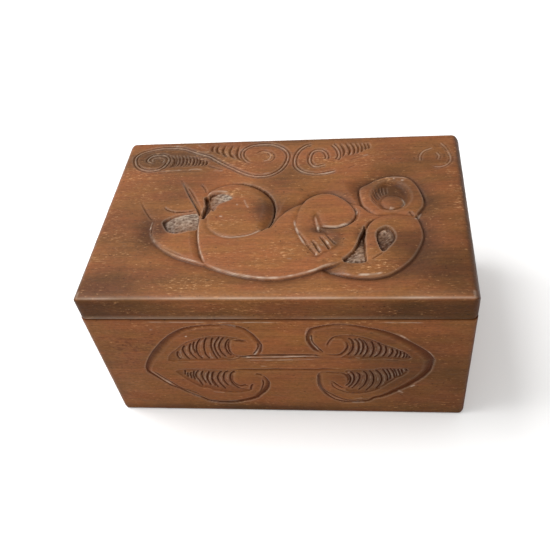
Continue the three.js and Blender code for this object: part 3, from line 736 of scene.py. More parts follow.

# Where the wood is darker or lighter, with painted shade under and beside parts of the figure, and where it
# is scuffed: middle, half sizes, strength
LID_TONES_AND_SHADE = (
    ((38.6, 94.6), 12, 18, -0.5), ((23.9, 21.2), 26, 12, -0.62), ((49.9, 21), 20, 9, -0.28),
    ((147.7, 109.4), 22, 14, -0.42), ((191.7, 66.2), 28, 22, -0.28), ((207.3, 109.7), 10, 18, -0.35),
    ((144.5, 89.8), 8, 12, -0.2), ((186.7, 104.8), 9, 12, -0.25), ((55.6, 87.6), 14, 9, -0.15),
    ((121.4, 112.4), 60, 22, 0.24), ((212.5, 136.4), 30, 16, -0.3), ((194, 106.5), 14, 14, -0.3),
    ((51.3, 136.1), 26, 12, -0.25), ((91.7, 84), 16, 14, -0.25), ((153.9, 81.2), 30, 20, 0.12),
    ((93.9, 78.1), 16, 16, 0.15), ((15.5, 142), 36, 17, -0.5), ((14.3, 88.8), 26, 40, -0.32),
    ((227.9, 126), 26, 34, -0.5), ((232.2, 73.1), 16, 40, -0.3), ((64.3, 22.8), 74, 18, -0.35),
    ((208.6, 23.9), 50, 20, -0.3), ((118.7, 48.6), 20, 12, -0.22), ((109.1, 77.3), 8, 12, -0.8),
    ((46.2, 91.5), 4, 5, -0.9), ((120.1, 70.9), 9, 9, -0.25), ((51.1, 64.4), 12, 10, -0.35),
    ((41.5, 46.7), 30, 9, -0.2), ((117.4, 47.6), 20, 10, -0.25), ((191.9, 57.5), 13, 8, -0.6),
    ((170.3, 55), 8, 8, -0.25), ((217.2, 73.8), 8, 34, -0.15), ((148.1, 96), 6, 4, -0.5),
    ((171.9, 101.5), 4, 8, -0.5), ((157.6, 105), 4, 6, -0.5), ((153.6, 97.2), 12, 3, -0.3),
    ((35.6, 101.8), 10, 18, -0.2), ((87.7, 138.3), 60, 5, -0.2), ((162.9, 126.5), 7, 4, -0.35),
    ((122.5, 150), 140, 6, -0.15), ((126, 2), 140, 5, -0.35), ((100.2, 57.9), 26, 5, -0.12),
    ((122.2, 32.8), 40, 6, -0.15),
)
LID_SCUFFS = (
    ((9, 88.7), 7, 34, 0.6), ((233.2, 65.4), 5, 26, 0.8), ((64.3, 22.8), 40, 16, 0.6),
    ((101.4, 20.1), 16, 12, 0.9), ((87, 57.5), 12, 9, 0.9), ((189.8, 48.5), 14, 5, 0.8),
    ((141.4, 25.5), 14, 10, 0.8), ((32.1, 58.5), 14, 12, 0.4), ((69.9, 140.1), 22, 6, 0.5),
    ((180.3, 127.4), 9, 4, 1.0), ((148.6, 107.1), 7, 5, 0.8), ((15, 37.5), 12, 10, 0.6),
    ((123.2, 118.4), 44, 14, 0.45), ((84.7, 90), 12, 8, 0.7), ((234.2, 14.7), 6, 8, 0.9),
    ((39.8, 3), 10, 3, 0.9), ((92.1, 153), 90, 5, 0.35), ((176, 64), 5, 10, 0.5),
    ((174.8, 24.7), 20, 12, 0.5), ((25.6, 109.4), 14, 16, 0.5), ((122.6, 145), 90, 4, 0.5),
)

# The front, u from the left end and v down from the seam

# Each heart is drawn along its outer edge, with the outside on the right
LEFT_HEART = path("106.2,36 108.6,33.1 110.4,26.8 110.3,23.3 106.3,13.5 103.9,10.2 101.8,7.8 92.3,4.3 "
    "65.6,6.9 58.9,10.1 49.9,17.4 39.3,30 32.8,40.4 29,49.1 28.4,52.9 29.4,56.1 31.5,58.7 41.9,71.5 "
    "46.3,74.5 53.9,81.4 62,87.6 64.2,89.9 74.1,92 85.2,91.1 99.5,85.6 103.4,81.1 107.3,76.5 "
    "109.4,72.4 110.4,68.3 110.2,63.7 107.7,58.3 105.9,56.6")
RIGHT_HEART = path("145.7,52.7 143.6,54.9 142.6,58.5 142.3,66.2 143.1,71 147.4,80.2 152.3,85.4 "
    "158.7,88.5 161.9,89.1 176.5,87.2 180.1,84 184.6,82.4 189,79.8 197.7,72.6 201.9,69.1 211.5,58.2 "
    "213.6,54.6 215.4,51.1 217,41.8 217.3,39.7 216.6,37.2 212.1,30 191.6,12.9 183.1,8.9 174.7,6.5 "
    "170.2,5.2 157.6,3.7 142.2,7.7 140.4,9.8 138.3,18.6 140.6,26.8 142.6,30 145,32 147.8,32.9")

# Bent notches in four wedges, drawn from the top down
HEART_NOTCHES = paths(
    "54.9,32.2 53.7,35.9 53.9,39.1 55.4,41", "60.7,26.4 58.5,30.2 59.5,38.5 61.2,41.2",
    "65.3,23.6 63.2,28.7 62.8,33.8 63.9,37.5 66,40.8", "67.8,22.1 66,26.6 65.8,31.2 66.5,34.4",
    "72.3,19.3 69.3,24.1 67.6,29.6 67.3,34.3 68.3,38.1 70,40.8",
    "76.7,17.9 74.2,22.6 72.4,32.7 73.1,37.4 74.8,40.6",
    "80.4,17.7 78.4,23.1 77.5,28.5 78.8,38.4 80.1,40.8", "84.8,16.8 79.9,26.5 80.6,35.7 82,39.5",
    "87.7,17.2 84.9,21.5 82.8,26.5 82.6,31 83.8,35.2 85.8,38.4",
    "90.6,19.2 87.9,23.5 86.8,27.5 86.9,31.5 87.9,34.6 89.8,37", "55.2,53.5 54.5,56.1 54.2,58.7",
    "56.6,56.1 55.7,58.7 55.7,61.2", "58.9,55.5 57.7,58.7 58,63.4",
    "61.1,54 60,57.6 59.5,61.2 59.9,64.4", "64.5,53.4 61.7,57.5 61.2,61.3 62.4,65 63.9,71.6",
    "67.5,53.8 65.6,57.5 65.3,61.7 66.8,68.8", "71.4,54.8 68.4,63.7 69.8,71.2",
    "74.7,54.2 72.6,59.4 71.5,63.7 71.6,68 72.8,71.6", "71.4,54.4 68.9,59.7 68.2,64 69.6,71.7",
    "73.7,54.9 72,60 71.9,64.6 74.4,73.6", "79.9,53.7 76.7,58.7 75.6,62.7 76.1,67.4 79.3,75.3",
    "84.6,53.7 81.4,56.5 79.5,64.4 80.3,67.8 82.1,71.4",
    "88.9,53.5 85.8,56.8 84.3,61.4 84.3,65.5 85.4,69.5 87.5,72.6 89.7,74.5",
    "164.1,17.5 166.6,20.9 166.7,29.6 163.2,36.1", "167.9,18.4 170.4,22.7 170.1,32 167.6,36.6",
    "170.2,17.9 172.7,21.7 173.5,26.5 172.5,31.9 170.9,35.5",
    "172.7,19.3 175.3,24.6 176.1,29 175.1,33.5 172.7,37.7",
    "178.1,20.7 179.4,25 179.8,29.4 179,34 177.2,37.6",
    "182,22.3 184.2,27.1 183.9,31.6 182.2,35.2 179.8,37.6", "186.8,25.7 187.5,30 186.9,33.6 185.2,37",
    "190.6,27.8 191.3,31.5 190.2,35.1 188.7,37.5", "193.4,29.1 194.3,32.4 193.4,36 192.4,37.7",
    "195.8,30.8 196.3,33 195.9,35.9 195,37.7", "198,32.4 198.6,34.6 198.2,36.9 197.4,38.1",
    "199.8,34.3 200.2,36.1 199.8,38", "201.6,36.1 201.9,37.6",
    "162.1,55.4 164.2,59.2 163.7,65.8 161.1,68.9",
    "164.4,52.7 166.3,56.4 166.9,60.8 166.3,64.6 164.6,68.7 162.4,71.5",
    "168.1,53.7 170.2,56.5 170.4,60.3 169.1,65.2 166.7,69.8 164.4,73.1",
    "172.5,52 174.8,55.8 175.2,60.6 174.3,65.6 172.3,70.2 168.8,74.7",
    "176.5,51.4 178.8,56.2 179.4,61.6 178.7,67.2 176.4,71.8 173.8,75.5",
    "180.6,50.8 183.6,55.7 184.6,60.4 184.3,64.9 182.7,69.4 180.6,73",
    "184.8,49.3 188.2,58 188.6,61.4 187.9,64.3", "187.7,49.7 189.3,54.4 190.1,58.4 189.9,61.9",
    "189.7,49.2 191.9,53.3 193.1,59.4", "192.3,49.6 194.1,56.3 194,58.6", "194.7,49.6 196.5,56.9",
    "196.9,49.9 197.9,55.3", "198.7,49 200,50.3 200.6,51.8",
)
FRONT_STROKES = (
    Stroke(LEFT_HEART, 5.4, 1.25, 0.72, start=0.03, end=0.04, floor=0.3, at_edge=True,
        swell=(0.65, 0.8, 0.5, 0.5, 0.95, 1.15, 0.8, 0.34, 0.4, 0.6, 0.8, 1.0, 0.6)),
    Stroke(RIGHT_HEART, 5.4, 1.25, 0.72, start=0.03, end=0.03, floor=0.3, at_edge=True,
        swell=(0.6, 0.75, 0.34, 0.5, 0.8, 0.95, 1.1, 1.25, 1.1, 0.85, 0.55, 0.55, 0.85, 0.8)),
    Stroke(path("33.7,53.6 36.5,58.8 45.3,70.3 47.8,73.2 56.1,78.7 61.7,82.5"), 1.9, 1.0, 0.2),
    Stroke(path("144,69 148,76.1 151,78.9 154.4,82.2 162,86.1 171.7,85.2 176.6,83.3"), 1.9, 1.0, 0.2),
    Stroke(path("107.8,22.4 107.8,26.3 106.4,30.3 103.7,34.4"), 1.6, 1.4),
    Stroke(path("106.1,62.1 105.9,67.8 101.6,79.5 98.2,82.8"), 1.8, 1.2),
    Stroke(path("142.2,13.3 141.8,17.1 142.3,21.9 146.5,29.7 148.4,32.2"), 1.8, 1.3),
    Stroke(path("89.5,36.1 96.8,37 103.2,35.8 120.7,35.1 138,34.7 146.4,35.2"), 2.0, 1.4, 0.6, start=0.12,
        end=0.05),
    Stroke(path("93.1,38.6 99.6,39.2 108.9,38.8 120.3,38.6 137.8,37.2 147.8,37.8"), 1.4, 0.7, start=0.15,
        end=0.1),
    Stroke(path("100.1,42 106.7,42"), 1.0, 0.5),
    Stroke(path("83.6,51.9 88,52.4 94.4,52 100.8,52.1 115.6,51.4 138.5,51.2 143.2,51.2 148.5,50.5 "
        "160.2,50.4"), 3.4, 1.1, -0.45, start=0.2, end=0.2),
    Stroke(path("102.1,56.1 104.6,56.9 106.3,58.2"), 3.0, 0.9),
    Stroke(path("148.6,53.2 152.3,54 155.7,54.2 160,54.9"), 2.2, 0.7),
    Stroke(path("46.8,41.9 49.6,42.9 56.8,43.7 60.7,43.3"), 1.2, 0.6),
    Stroke(path("46.6,41.8 47.3,39.1 51.2,33.3 55.1,29.7 58,26.6 64.7,21.6 81.3,16.2 91.6,17.2 "
        "98.8,20.1 100.3,20.8 101.3,23"), 1.7, 0.8, start=0.08, end=0.05),
    Stroke(path("91.4,20.5 94.4,20.5 99.1,21.5 100.7,22.4"), 3.2, 1.1, start=0.4, end=0.3),
    Stroke(path("91.6,20 89.9,22.5 88.8,26.4 89.3,33.6 91.1,35.5 93.9,35.8"), 2.6, 1.3, 0.2, start=0.2,
        end=0.3),
    Stroke(path("65.9,41.7 72.3,41.1 77.6,41 83.8,40.4 90.1,40.3 93.4,38.7 97.7,37"), 1.4, 0.6),
    Stroke(path("47.3,53.4 48.8,54.8 55.3,64.6 60.4,69.9 62.4,72.1 66.6,73 71.5,75.1 67.1,72.7 "
        "70.9,75.6 83.8,78.4 90.6,77.5 96.2,76.2"), 1.6, 0.8, start=0.06, end=0.1),
    Stroke(path("96.2,75.8 97,72 98.5,68.6 99.8,68"), 2.4, 1.2, start=0.1, end=0.3),
    Stroke(path("87,56.4 85.5,61.4 85.6,65.3 87.3,68.7 90,70.4 93.1,69.5 95.9,70.6"), 3.0, 1.1, 0.2),
    Stroke(path("89.6,73.4 95.9,75.4"), 1.6, 0.7), Stroke(path("52.5,51.6 66,51 72.1,51.8"), 1.2, 0.5),
    Stroke(path("151.2,27.2 151.4,23.8 154.3,18 156.7,16.2 162.8,15 166,15.4 168.8,15.6 177.9,19.4 "
        "184.5,23.8 191.8,27.6 194.7,29.6 197.7,31.5 202.6,37.4"), 2.0, 1.0, start=0.06, end=0.05),
    Stroke(path("159.7,19 162,20.4 163.6,24.6 163,28.7 159.1,34.2 155.7,35.1 149.2,33.8"), 2.8, 1.3,
        start=0.3, end=0.3),
    Stroke(path("159.2,37.2 169.4,38.5 177.1,37.6 180.1,37.9 186,37.6 191.9,38.3 200.8,38.7"), 1.4, 0.7),
    Stroke(path("186.3,39.8 189.6,40 195.5,39.8"), 1.1, 0.5),
    Stroke(path("151.2,62.7 152.8,70.1 159.2,75.6 163.9,77.3 168.7,77.7 178.3,74.6 183,71.1 "
        "183.1,70.4 186,67.7 188.9,64.1 191.7,61.5 193.7,58.9 196.8,56.8 199.5,53.8 201.1,51.1"), 1.8,
        0.9, start=0.06, end=0.05),
    Stroke(path("151.2,62.7 157.5,70.5 160,71.5 162.6,69.8"), 2.2, 1.1, start=0.2, end=0.4),
    Stroke(path("155.7,54 158.8,54.5 160.9,56.1 162.5,59.2 162.8,62.5 161.8,66.4"), 2.6, 1.2, start=0.4,
        end=0.3),
    Stroke(path("180.3,49.5 185.9,48.5 197.1,48.3"), 1.2, 0.6),
    Stroke(path("194.2,75.9 198.8,79.6"), 1.1, 0.5),
)
# Lines on the front painted lighter, as wear and as painted highlights: places, width, strength
FRONT_POLISH_AND_HIGHLIGHTS = (
    (path("63.3,88.8 68.9,90.7 87.4,89.9"), 1.8, 1.0),
    (path("90.6,36.7 99.8,37.6 137.9,36.2 147.8,36.6"), 1.3, 0.8),
    (path("94.4,40.6 120.1,40.3 145.3,39"), 1.2, 0.5), (path("85.4,4.6 95.2,6 96.8,7.5"), 1.5, 1.0),
    (path("102.4,9.5 105.7,14.2"), 1.2, 0.9), (path("109.3,24.3 108.7,27.8 103.5,35.7"), 1.8, 0.9),
    (path("31.5,51.3 33.2,55.7 44.9,72"), 1.4, 0.8), (path("50.2,76.5 58.2,84.1 62,85.7"), 1.2, 0.6),
    (path("143.4,58.4 143.1,62.9 144.4,71.8 149.3,80.4 158.8,86.4"), 1.3, 0.7),
    (path("163.9,88.7 173.3,88.4"), 1.2, 0.6), (path("164.7,83.3 168.6,83.5 171.8,82.8"), 1.0, 0.5),
    (path("141.4,15.2 141.9,23.4 146.1,30.9"), 1.5, 0.9),
    (path("138.2,14.3 140.1,7.8 142,6.4"), 1.0, 0.6), (path("154.3,5.8 158.9,5 168.8,5.8"), 1.0, 0.6),
    (path("191.6,12 194.4,13.3 201.9,19.8"), 1.2, 0.7),
    (path("212,29.3 215.2,33.9 216.5,37.2"), 1.0, 0.5), (path("216.6,39.2 215.8,45.3"), 1.3, 0.8),
    (path("186.5,24.2 198.5,31"), 1.0, 0.5), (path("203.1,68.9 206.2,66.8"), 1.6, 0.7),
    (path("194.2,73.8 196.6,74.6 198.9,76.4"), 1.6, 0.5),
    (path("69.3,77.3 73.1,78.4 77.7,78.7"), 1.2, 0.7), (path("106.5,47.3 111.5,47.3"), 1.1, 0.6),
    (path("63.1,16.1 64.3,16"), 1.6, 1.0), (path("42,9.3 43.8,9.5"), 1.4, 0.5),
    (path("56.9,8 57.5,8.2"), 1.2, 0.6), (path("70.1,36.3 70.3,38.4"), 1.2, 0.9),
    (path("74.9,37.3 75.9,38.8"), 1.4, 0.9), (path("55,37.5 55.3,39.1"), 1.2, 0.8),
    (path("74.9,35.7 76.6,39.8"), 1.3, 0.9), (path("84.1,38.2 86.2,38.9"), 1.2, 0.6),
    (path("93.4,36.6 96.3,36.4"), 1.4, 1.0), (path("181.6,25.7 182.8,27.1 182,30.1"), 1.6, 0.6),
    (path("185.4,27.1 186,30 185.3,33.3"), 1.2, 0.5), (path("162.8,53.1 163.7,54.6"), 1.2, 0.7),
    (path("167.9,37.5 171.2,38.2"), 1.2, 0.5), (path("37.7,1.9 84.6,2.1"), 1.2, 0.5),
    (path("78.4,2.1 124.3,2.1"), 1.2, 0.6), (path("136.5,-0.5 158,-0.3"), 1.0, 0.3),
    (path("180.3,1.9 210.7,2.5"), 1.2, 0.4),
)

# Notches nearer to each other than this, in millimetres, stand in one wedge with a ridge between them,
# which gets a painted highlight
NEIGHBOUR_NOTCH = 9.0

# The wedges that the notches fill
WEDGES = paths(
    "46.5,41.9 47.3,39.1 51.2,33.3 55.1,29.7 58,26.6 64.7,21.6 81.3,16.2 91.7,17.1 94.4,18.5 91.5,20 "
        "89.5,23 88.3,31 89.2,34.1 91.3,36.7 89.1,38.8 77.3,41.5 69,41.6 56.1,42.6 49.6,42.9",
    "48.7,53.9 55.3,64.4 60.4,69.6 62.5,72 66.7,72.9 71.5,74.9 67.1,72.6 71,75.5 83.8,78.2 90.6,77.4 "
        "96,76.1 95.7,74.4 89.7,72.7 85.7,66.5 85.5,62 86.8,57.5 88.9,53.3 84.7,52.7 67.4,52.3 "
        "65.8,51.7 53,52.3",
    "156,17.5 159.9,15.4 162.8,15 165.9,15.4 168.8,15.6 177.9,19.4 184.5,23.8 191.8,27.6 194.7,29.6 "
        "197.7,31.5 202.4,37.3 200.8,38.6 186,37.8 175.4,37.9 169.4,38.3 163.4,37.7 159.5,37.1 "
        "161.4,35.1 163.9,31.5 164.7,27.1 163.9,23.2 162,20.1 159.8,18.2",
    "161.5,51.9 166.3,50.8 175.5,50.1 180,50.1 180.3,49.7 191.5,48.4 199.4,49.2 200.9,51 196.8,56.6 "
        "193.7,58.7 191.7,61.3 188.9,63.9 186,67.5 183.1,70.2 183,70.9 178.3,74.4 173.5,76.1 "
        "168.7,77.4 163.9,77 161.1,74.9 160.6,72.1 162.6,68.9 164.2,64.7 164.2,60.3 163.1,55.9",
)

FRONT_TONES = (
    ((139.9, 47.1), 50, 5, 0.15), ((77.9, 30.5), 30, 16, 0.42), ((79.8, 64.5), 28, 15, 0.32),
    ((182.6, 29.7), 30, 16, -0.28), ((183.3, 61.7), 28, 15, -0.28), ((121.3, 19.9), 40, 20, 0.35),
    ((122.2, 59.4), 26, 22, 0.05), ((236, 56.4), 30, 70, -0.5), ((125.2, 98.7), 140, 6, -0.5),
    ((182.9, 46.1), 44, 34, -0.35), ((73.2, 48.6), 40, 30, -0.15), ((4, 62.4), 7, 60, -0.3),
    ((198.3, 88.5), 50, 12, -0.25), ((64, 96.6), 60, 8, -0.2), ((144.9, 93.7), 60, 8, -0.2),
    ((30.8, 23.2), 14, 12, -0.1),
)
FRONT_SCUFFS = (
    ((61.8, 5.3), 50, 3, 0.5), ((203.1, 90.9), 26, 6, 0.35), ((122.9, 3), 100, 2, 0.5),
    ((94.7, 89.9), 40, 6, 0.3), ((10.1, 52.1), 8, 40, 0.35), ((123.9, 43.5), 30, 6, 0.4),
)
FRONT_STAINS = (
    ((24.5, 25.3), 15, 9, 1.0), ((18.4, 39.6), 12, 9, 0.7), ((39.2, 21), 8, 6, 0.6),
    ((222.4, 18.4), 10, 12, 0.3),
)


# Finishes


def linear(code: int) -> tuple[float, float, float, float]:
    """Turns an sRGB hex colour to a linear one.

    Args:
        code: The colour, such as 0x8a5a38.

    Returns:
        Red, green, blue and 1.
    """
    parts = [(code >> shift & 255) / 255 for shift in (16, 8, 0)]
    values = [c / 12.92 if c <= 0.04045 else ((c + 0.055) / 1.055) ** 2.4 for c in parts]
    return values[0], values[1], values[2], 1.0


class Kind(Enum):
    """The kinds of node in use: type, settings, inputs in the order they are given, and output."""

    PLACE = "ShaderNodeTexCoord", {}, (), "Object"
    KEPT = "ShaderNodeAttribute", {}, (), "Fac"
    STRETCH = "ShaderNodeMapping", {}, (0, 3), 0
    NOISE = "ShaderNodeTexNoise", {}, ("Vector", "Scale", "Detail", "Roughness"), 0
    RANGE = "ShaderNodeMapRange", {"interpolation_type": "SMOOTHSTEP"}, (0, 1, 2, 3, 4), 0
    TIMES = "ShaderNodeMath", {"operation": "MULTIPLY"}, (0, 1), 0
    LESS = "ShaderNodeMath", {"operation": "SUBTRACT"}, (0, 1), 0
    LARGER = "ShaderNodeMath", {"operation": "MAXIMUM"}, (0, 1), 0
    TIMES_PLUS = "ShaderNodeMath", {"operation": "MULTIPLY_ADD"}, (0, 1, 2), 0
    GREY = "ShaderNodeCombineColor", {}, (0, 1, 2), 0
    MIX = "ShaderNodeMix", {"data_type": "RGBA"}, (0, 6, 7), 2
    TINT = "ShaderNodeMix", {"data_type": "RGBA", "blend_type": "MULTIPLY"}, (0, 6, 7), 2
    BUMP = "ShaderNodeBump", {}, ("Strength", "Distance", "Height"), 0
    WOOD = "ShaderNodeBsdfPrincipled", {}, ("Base Color", "Roughness", "Specular IOR Level", "Normal"), 0
    METAL = "ShaderNodeBsdfPrincipled", {}, ("Base Color", "Metallic", "Roughness", "Normal"), 0
    SURFACE = "ShaderNodeOutputMaterial", {}, (0,), None


def add(tree: bpy.types.NodeTree, kind: Kind, *values: Any, **settings: Any) -> Socket | None:
    """Adds one node, sets it and links it.

    Args:
        tree: The tree that it joins.
        kind: The kind of node.
        values: A value or another node's output for each input of the kind.
        settings: Further settings of its own.

    Returns:
        Its output, if its kind has one.
    """
    type_name, usual, inputs, output = kind.value
    node = tree.nodes.new(type_name)
    for name, value in {**usual, **settings}.items():
        setattr(node, name, value)
    for key, value in zip(inputs, values):
        if isinstance(value, Socket):
            tree.links.new(value, node.inputs[key])
        else:
            node.inputs[key].default_value = value
    return None if output is None else node.outputs[output]


Put = Callable[..., Socket]
Seen = dict[str, Socket]


def empty_material(name: str) -> bpy.types.Material:
    """Makes a material without nodes."""
    material = bpy.data.materials.new(name)
    material.use_nodes = True
    material.node_tree.nodes.clear()
    return material


# The patterns in the wood: length along the grain and width across it in millimetres, detail, roughness.
# Real pores are about 0.2 mm wide, so they are drawn coarser to show at all.
WOOD_PATTERNS = {
    "stain": (46.0, 30.0, 3.0, 0.55),
    "drift": (34.0, 13.0, 2.0, 0.6),
    "band": (70.0, 3.2, 3.0, 0.6),
    "streak": (26.0, 0.9, 2.0, 0.6),
    "pore": (5.0, 0.55, 1.0, 0.5),
    "fleck": (3.6, 1.0, 3.0, 0.7),
    "patch": (16.0, 9.0, 2.0, 0.5),
    "mottle": (2.6, 1.3, 3.0, 0.65),
    "pit": (2.4, 1.6, 1.0, 0.5),
}
# Brushing of the metals, 8.3 mm long and 0.3 mm apart, as steps in a metre
BRUSH_SCALE = (120.0, 3300.0, 3300.0)
# The values that the carved boards keep on their points; the dirt value also holds painted shade, and the
# rubbed value painted highlights
KEPT_VALUES = ("tone", "grime", "rubbed", "raw", "scuff")
FULLY_METALLIC = 1.0
REDDER = (1.03, 0.95, 0.98, 1.0)
YELLOWER = (0.98, 1.04, 0.94, 1.0)


@dataclass(frozen=True)
class WoodFinish:
    """Oiled hardwood, cut with hand tools and rubbed for years.

    The grain runs along one axis. The places rubbed by hands are lighter and smoother, with painted
    highlights along rims, and the cuts are dark with wax, dust and painted shade. bump_height is in
    millimetres.
    """

    name: str
    dark: int
    mid: int
    light: int
    grime: int
    rubbed: int
    raw: int
    raw_low: int = 0x3f312a
    polish_and_highlight: int = 0xb7a695
    along: int = 0
    roughness: float = 0.4
    specular: float = 0.28
    streak: float = 0.38
    bump: float = 0.35
    bump_height: float = 0.22
    fleck: float = 0.5

    def make(self) -> bpy.types.Material:
        """Builds the material.

        Returns:
            The material.
        """
        material = empty_material(self.name)
        put = partial(add, material.node_tree)
        place = put(Kind.PLACE)
        seen = {f"kept_{name}": put(Kind.KEPT, attribute_name=name) for name in KEPT_VALUES}
        for name, (length, width, detail, roughness) in WOOD_PATTERNS.items():
            scale = [1 / (width * MM)] * 3
            scale[self.along] = 1 / (length * MM)
            seen[name] = put(Kind.NOISE, put(Kind.STRETCH, place, scale), 1.0, detail, roughness)
        bump = put(Kind.BUMP, self.bump, self.bump_height * MM, self.relief(put, seen))
        color = self.worn_color_and_painted_light(put, seen, self.clean_color(put, seen))
        put(Kind.SURFACE, put(Kind.WOOD, color, self.dullness(put, seen), self.specular, bump))
        return material

    def clean_color(self, put: Put, seen: Seen) -> Socket:
        """The colour of the wood with its growth lines and pores, and the stain that the oil left.

        Args:
            put: Adds a node to the material.
            seen: The patterns and the kept values.

        Returns:
            The colour.
        """
        stain = put(Kind.RANGE, seen["stain"], 0.3, 0.7, -0.16, 0.16)
        tone = put(Kind.TIMES_PLUS, stain, 1.0, seen["kept_tone"])
        color = put(Kind.MIX, put(Kind.RANGE, tone, -1.0, 0.0), linear(self.dark), linear(self.mid))
        color = put(Kind.MIX, put(Kind.RANGE, tone, 0.0, 1.0), color, linear(self.light))
        grey = put(Kind.RANGE, seen["band"], 0.3, 0.7, 1 - 0.32 * self.streak, 1 + 0.16 * self.streak)
        for name, low, high, at_low, at_high in (
            ("streak", 0.3, 0.72, 1 - 0.3 * self.streak, 1 + 0.18 * self.streak),
            ("pore", 0.62, 0.74, 1.0, 1 - 0.42 * self.streak),
            ("mottle", 0.3, 0.7, 0.86, 1.13),
            ("pit", 0.7, 0.78, 1.0, 0.5),
        ):
            grey = put(Kind.TIMES, grey, put(Kind.RANGE, seen[name], low, high, at_low, at_high))
        color = put(Kind.TINT, 1.0, color, put(Kind.GREY, grey, grey, grey))
        # Old oil leaves the wood redder in some places and more yellow in others
        tint = put(Kind.MIX, put(Kind.RANGE, seen["drift"], 0.36, 0.64), REDDER, YELLOWER)
        return put(Kind.TINT, 1.0, color, tint)

    def worn_color_and_painted_light(self, put: Put, seen: Seen, color: Socket) -> Socket:
        """Lays the scuffs, the rubbed lines with their painted highlights, the bare wood, and the dirt with
        painted shade over the colour.

        Args:
            put: Adds a node to the material.
            seen: The patterns and the kept values.
            color: The colour of the clean wood.

        Returns:
            The worn colour.
        """
        fleck, patch = seen["fleck"], seen["patch"]
        scuff = put(Kind.TIMES, seen["kept_scuff"], put(Kind.RANGE, fleck, 0.53, 0.66))
        scuff = put(Kind.TIMES, scuff, put(Kind.RANGE, patch, 0.42, 0.58, 0.25, 1.0))
        spots = put(Kind.TIMES, put(Kind.RANGE, fleck, 0.62, 0.7),
                    put(Kind.RANGE, patch, 0.46, 0.62, 0.12, self.fleck))
        color = put(Kind.MIX, put(Kind.TIMES, scuff, 0.7), color, linear(self.rubbed))
        color = put(Kind.MIX, spots, color, linear(self.rubbed))
        # Painted highlights, with wear, along rims and rubbed lines
        color = put(Kind.MIX, put(Kind.TIMES, seen["kept_rubbed"], 0.72), color, linear(self.polish_and_highlight))
        bare = put(Kind.MIX, put(Kind.RANGE, fleck, 0.36, 0.62), linear(self.raw_low), linear(self.raw))
        color = put(Kind.MIX, seen["kept_raw"], color, bare)
        # Dirt and painted shade in the cuts, along the seam and on the sunk ground
        return put(Kind.MIX, seen["kept_grime"], color, linear(self.grime))

    def dullness(self, put: Put, seen: Seen) -> Socket:
        """How dull the surface is: less where it is rubbed, more where it is bare.

        Args:
            put: Adds a node to the material.
            seen: The patterns and the kept values.

        Returns:
            The roughness.
        """
        usual = put(Kind.RANGE, seen["patch"], 0.3, 0.7, self.roughness - 0.05, self.roughness + 0.09)
        rough = put(Kind.LESS, usual, put(Kind.TIMES, seen["kept_rubbed"], 0.17))
        return put(Kind.LARGER, rough, put(Kind.TIMES, seen["kept_raw"], 0.72))

    @staticmethod
    def relief(put: Put, seen: Seen) -> Socket:
        """The small heights of the surface: streaks, sunk pores, torn bare wood and a fine unevenness.

        Args:
            put: Adds a node to the material.
            seen: The patterns and the kept values.

        Returns:
            The height.
        """
        pores = put(Kind.RANGE, seen["pore"], 0.58, 0.76, 0.0, -1.0)
        height = put(Kind.TIMES_PLUS, pores, 0.7, seen["streak"])
        height = put(Kind.TIMES_PLUS, put(Kind.TIMES, seen["fleck"], seen["kept_raw"]), 5.0, height)
        return put(Kind.TIMES_PLUS, seen["mottle"], 1.8, height)


@dataclass(frozen=True)
class MetalFinish:
    """Metal that was polished or drawn once and has dulled in the air, darker where it isn't touched.

    Its patches of tarnish are patch_size millimetres across.
    """

    name: str
    clean: int
    dull: int
    roughness: float
    spot: float = 0.5
    patch_size: float = 4.0

    def make(self) -> bpy.types.Material:
        """Builds the material, with patches of tarnish and fine brushing along X."""
        material = empty_material(self.name)
        put = partial(add, material.node_tree)
        place = put(Kind.PLACE)
        patch = put(Kind.NOISE, place, 1 / (self.patch_size * MM), 4.0, 0.65)
        brush = put(Kind.NOISE, put(Kind.STRETCH, place, BRUSH_SCALE), 1.0, 2.0)
        mask = put(Kind.RANGE, patch, 0.5 - 0.22 * self.spot, 0.5 + 0.22 * self.spot)
        color = put(Kind.MIX, mask, linear(self.dull), linear(self.clean))
        rough = put(Kind.RANGE, patch, 0.3, 0.7, self.roughness + 0.14, self.roughness - 0.06)
        bump = put(Kind.BUMP, 0.25, 0.05 * MM, brush)
        put(Kind.SURFACE, put(Kind.METAL, color, FULLY_METALLIC, rough, bump))
        return material


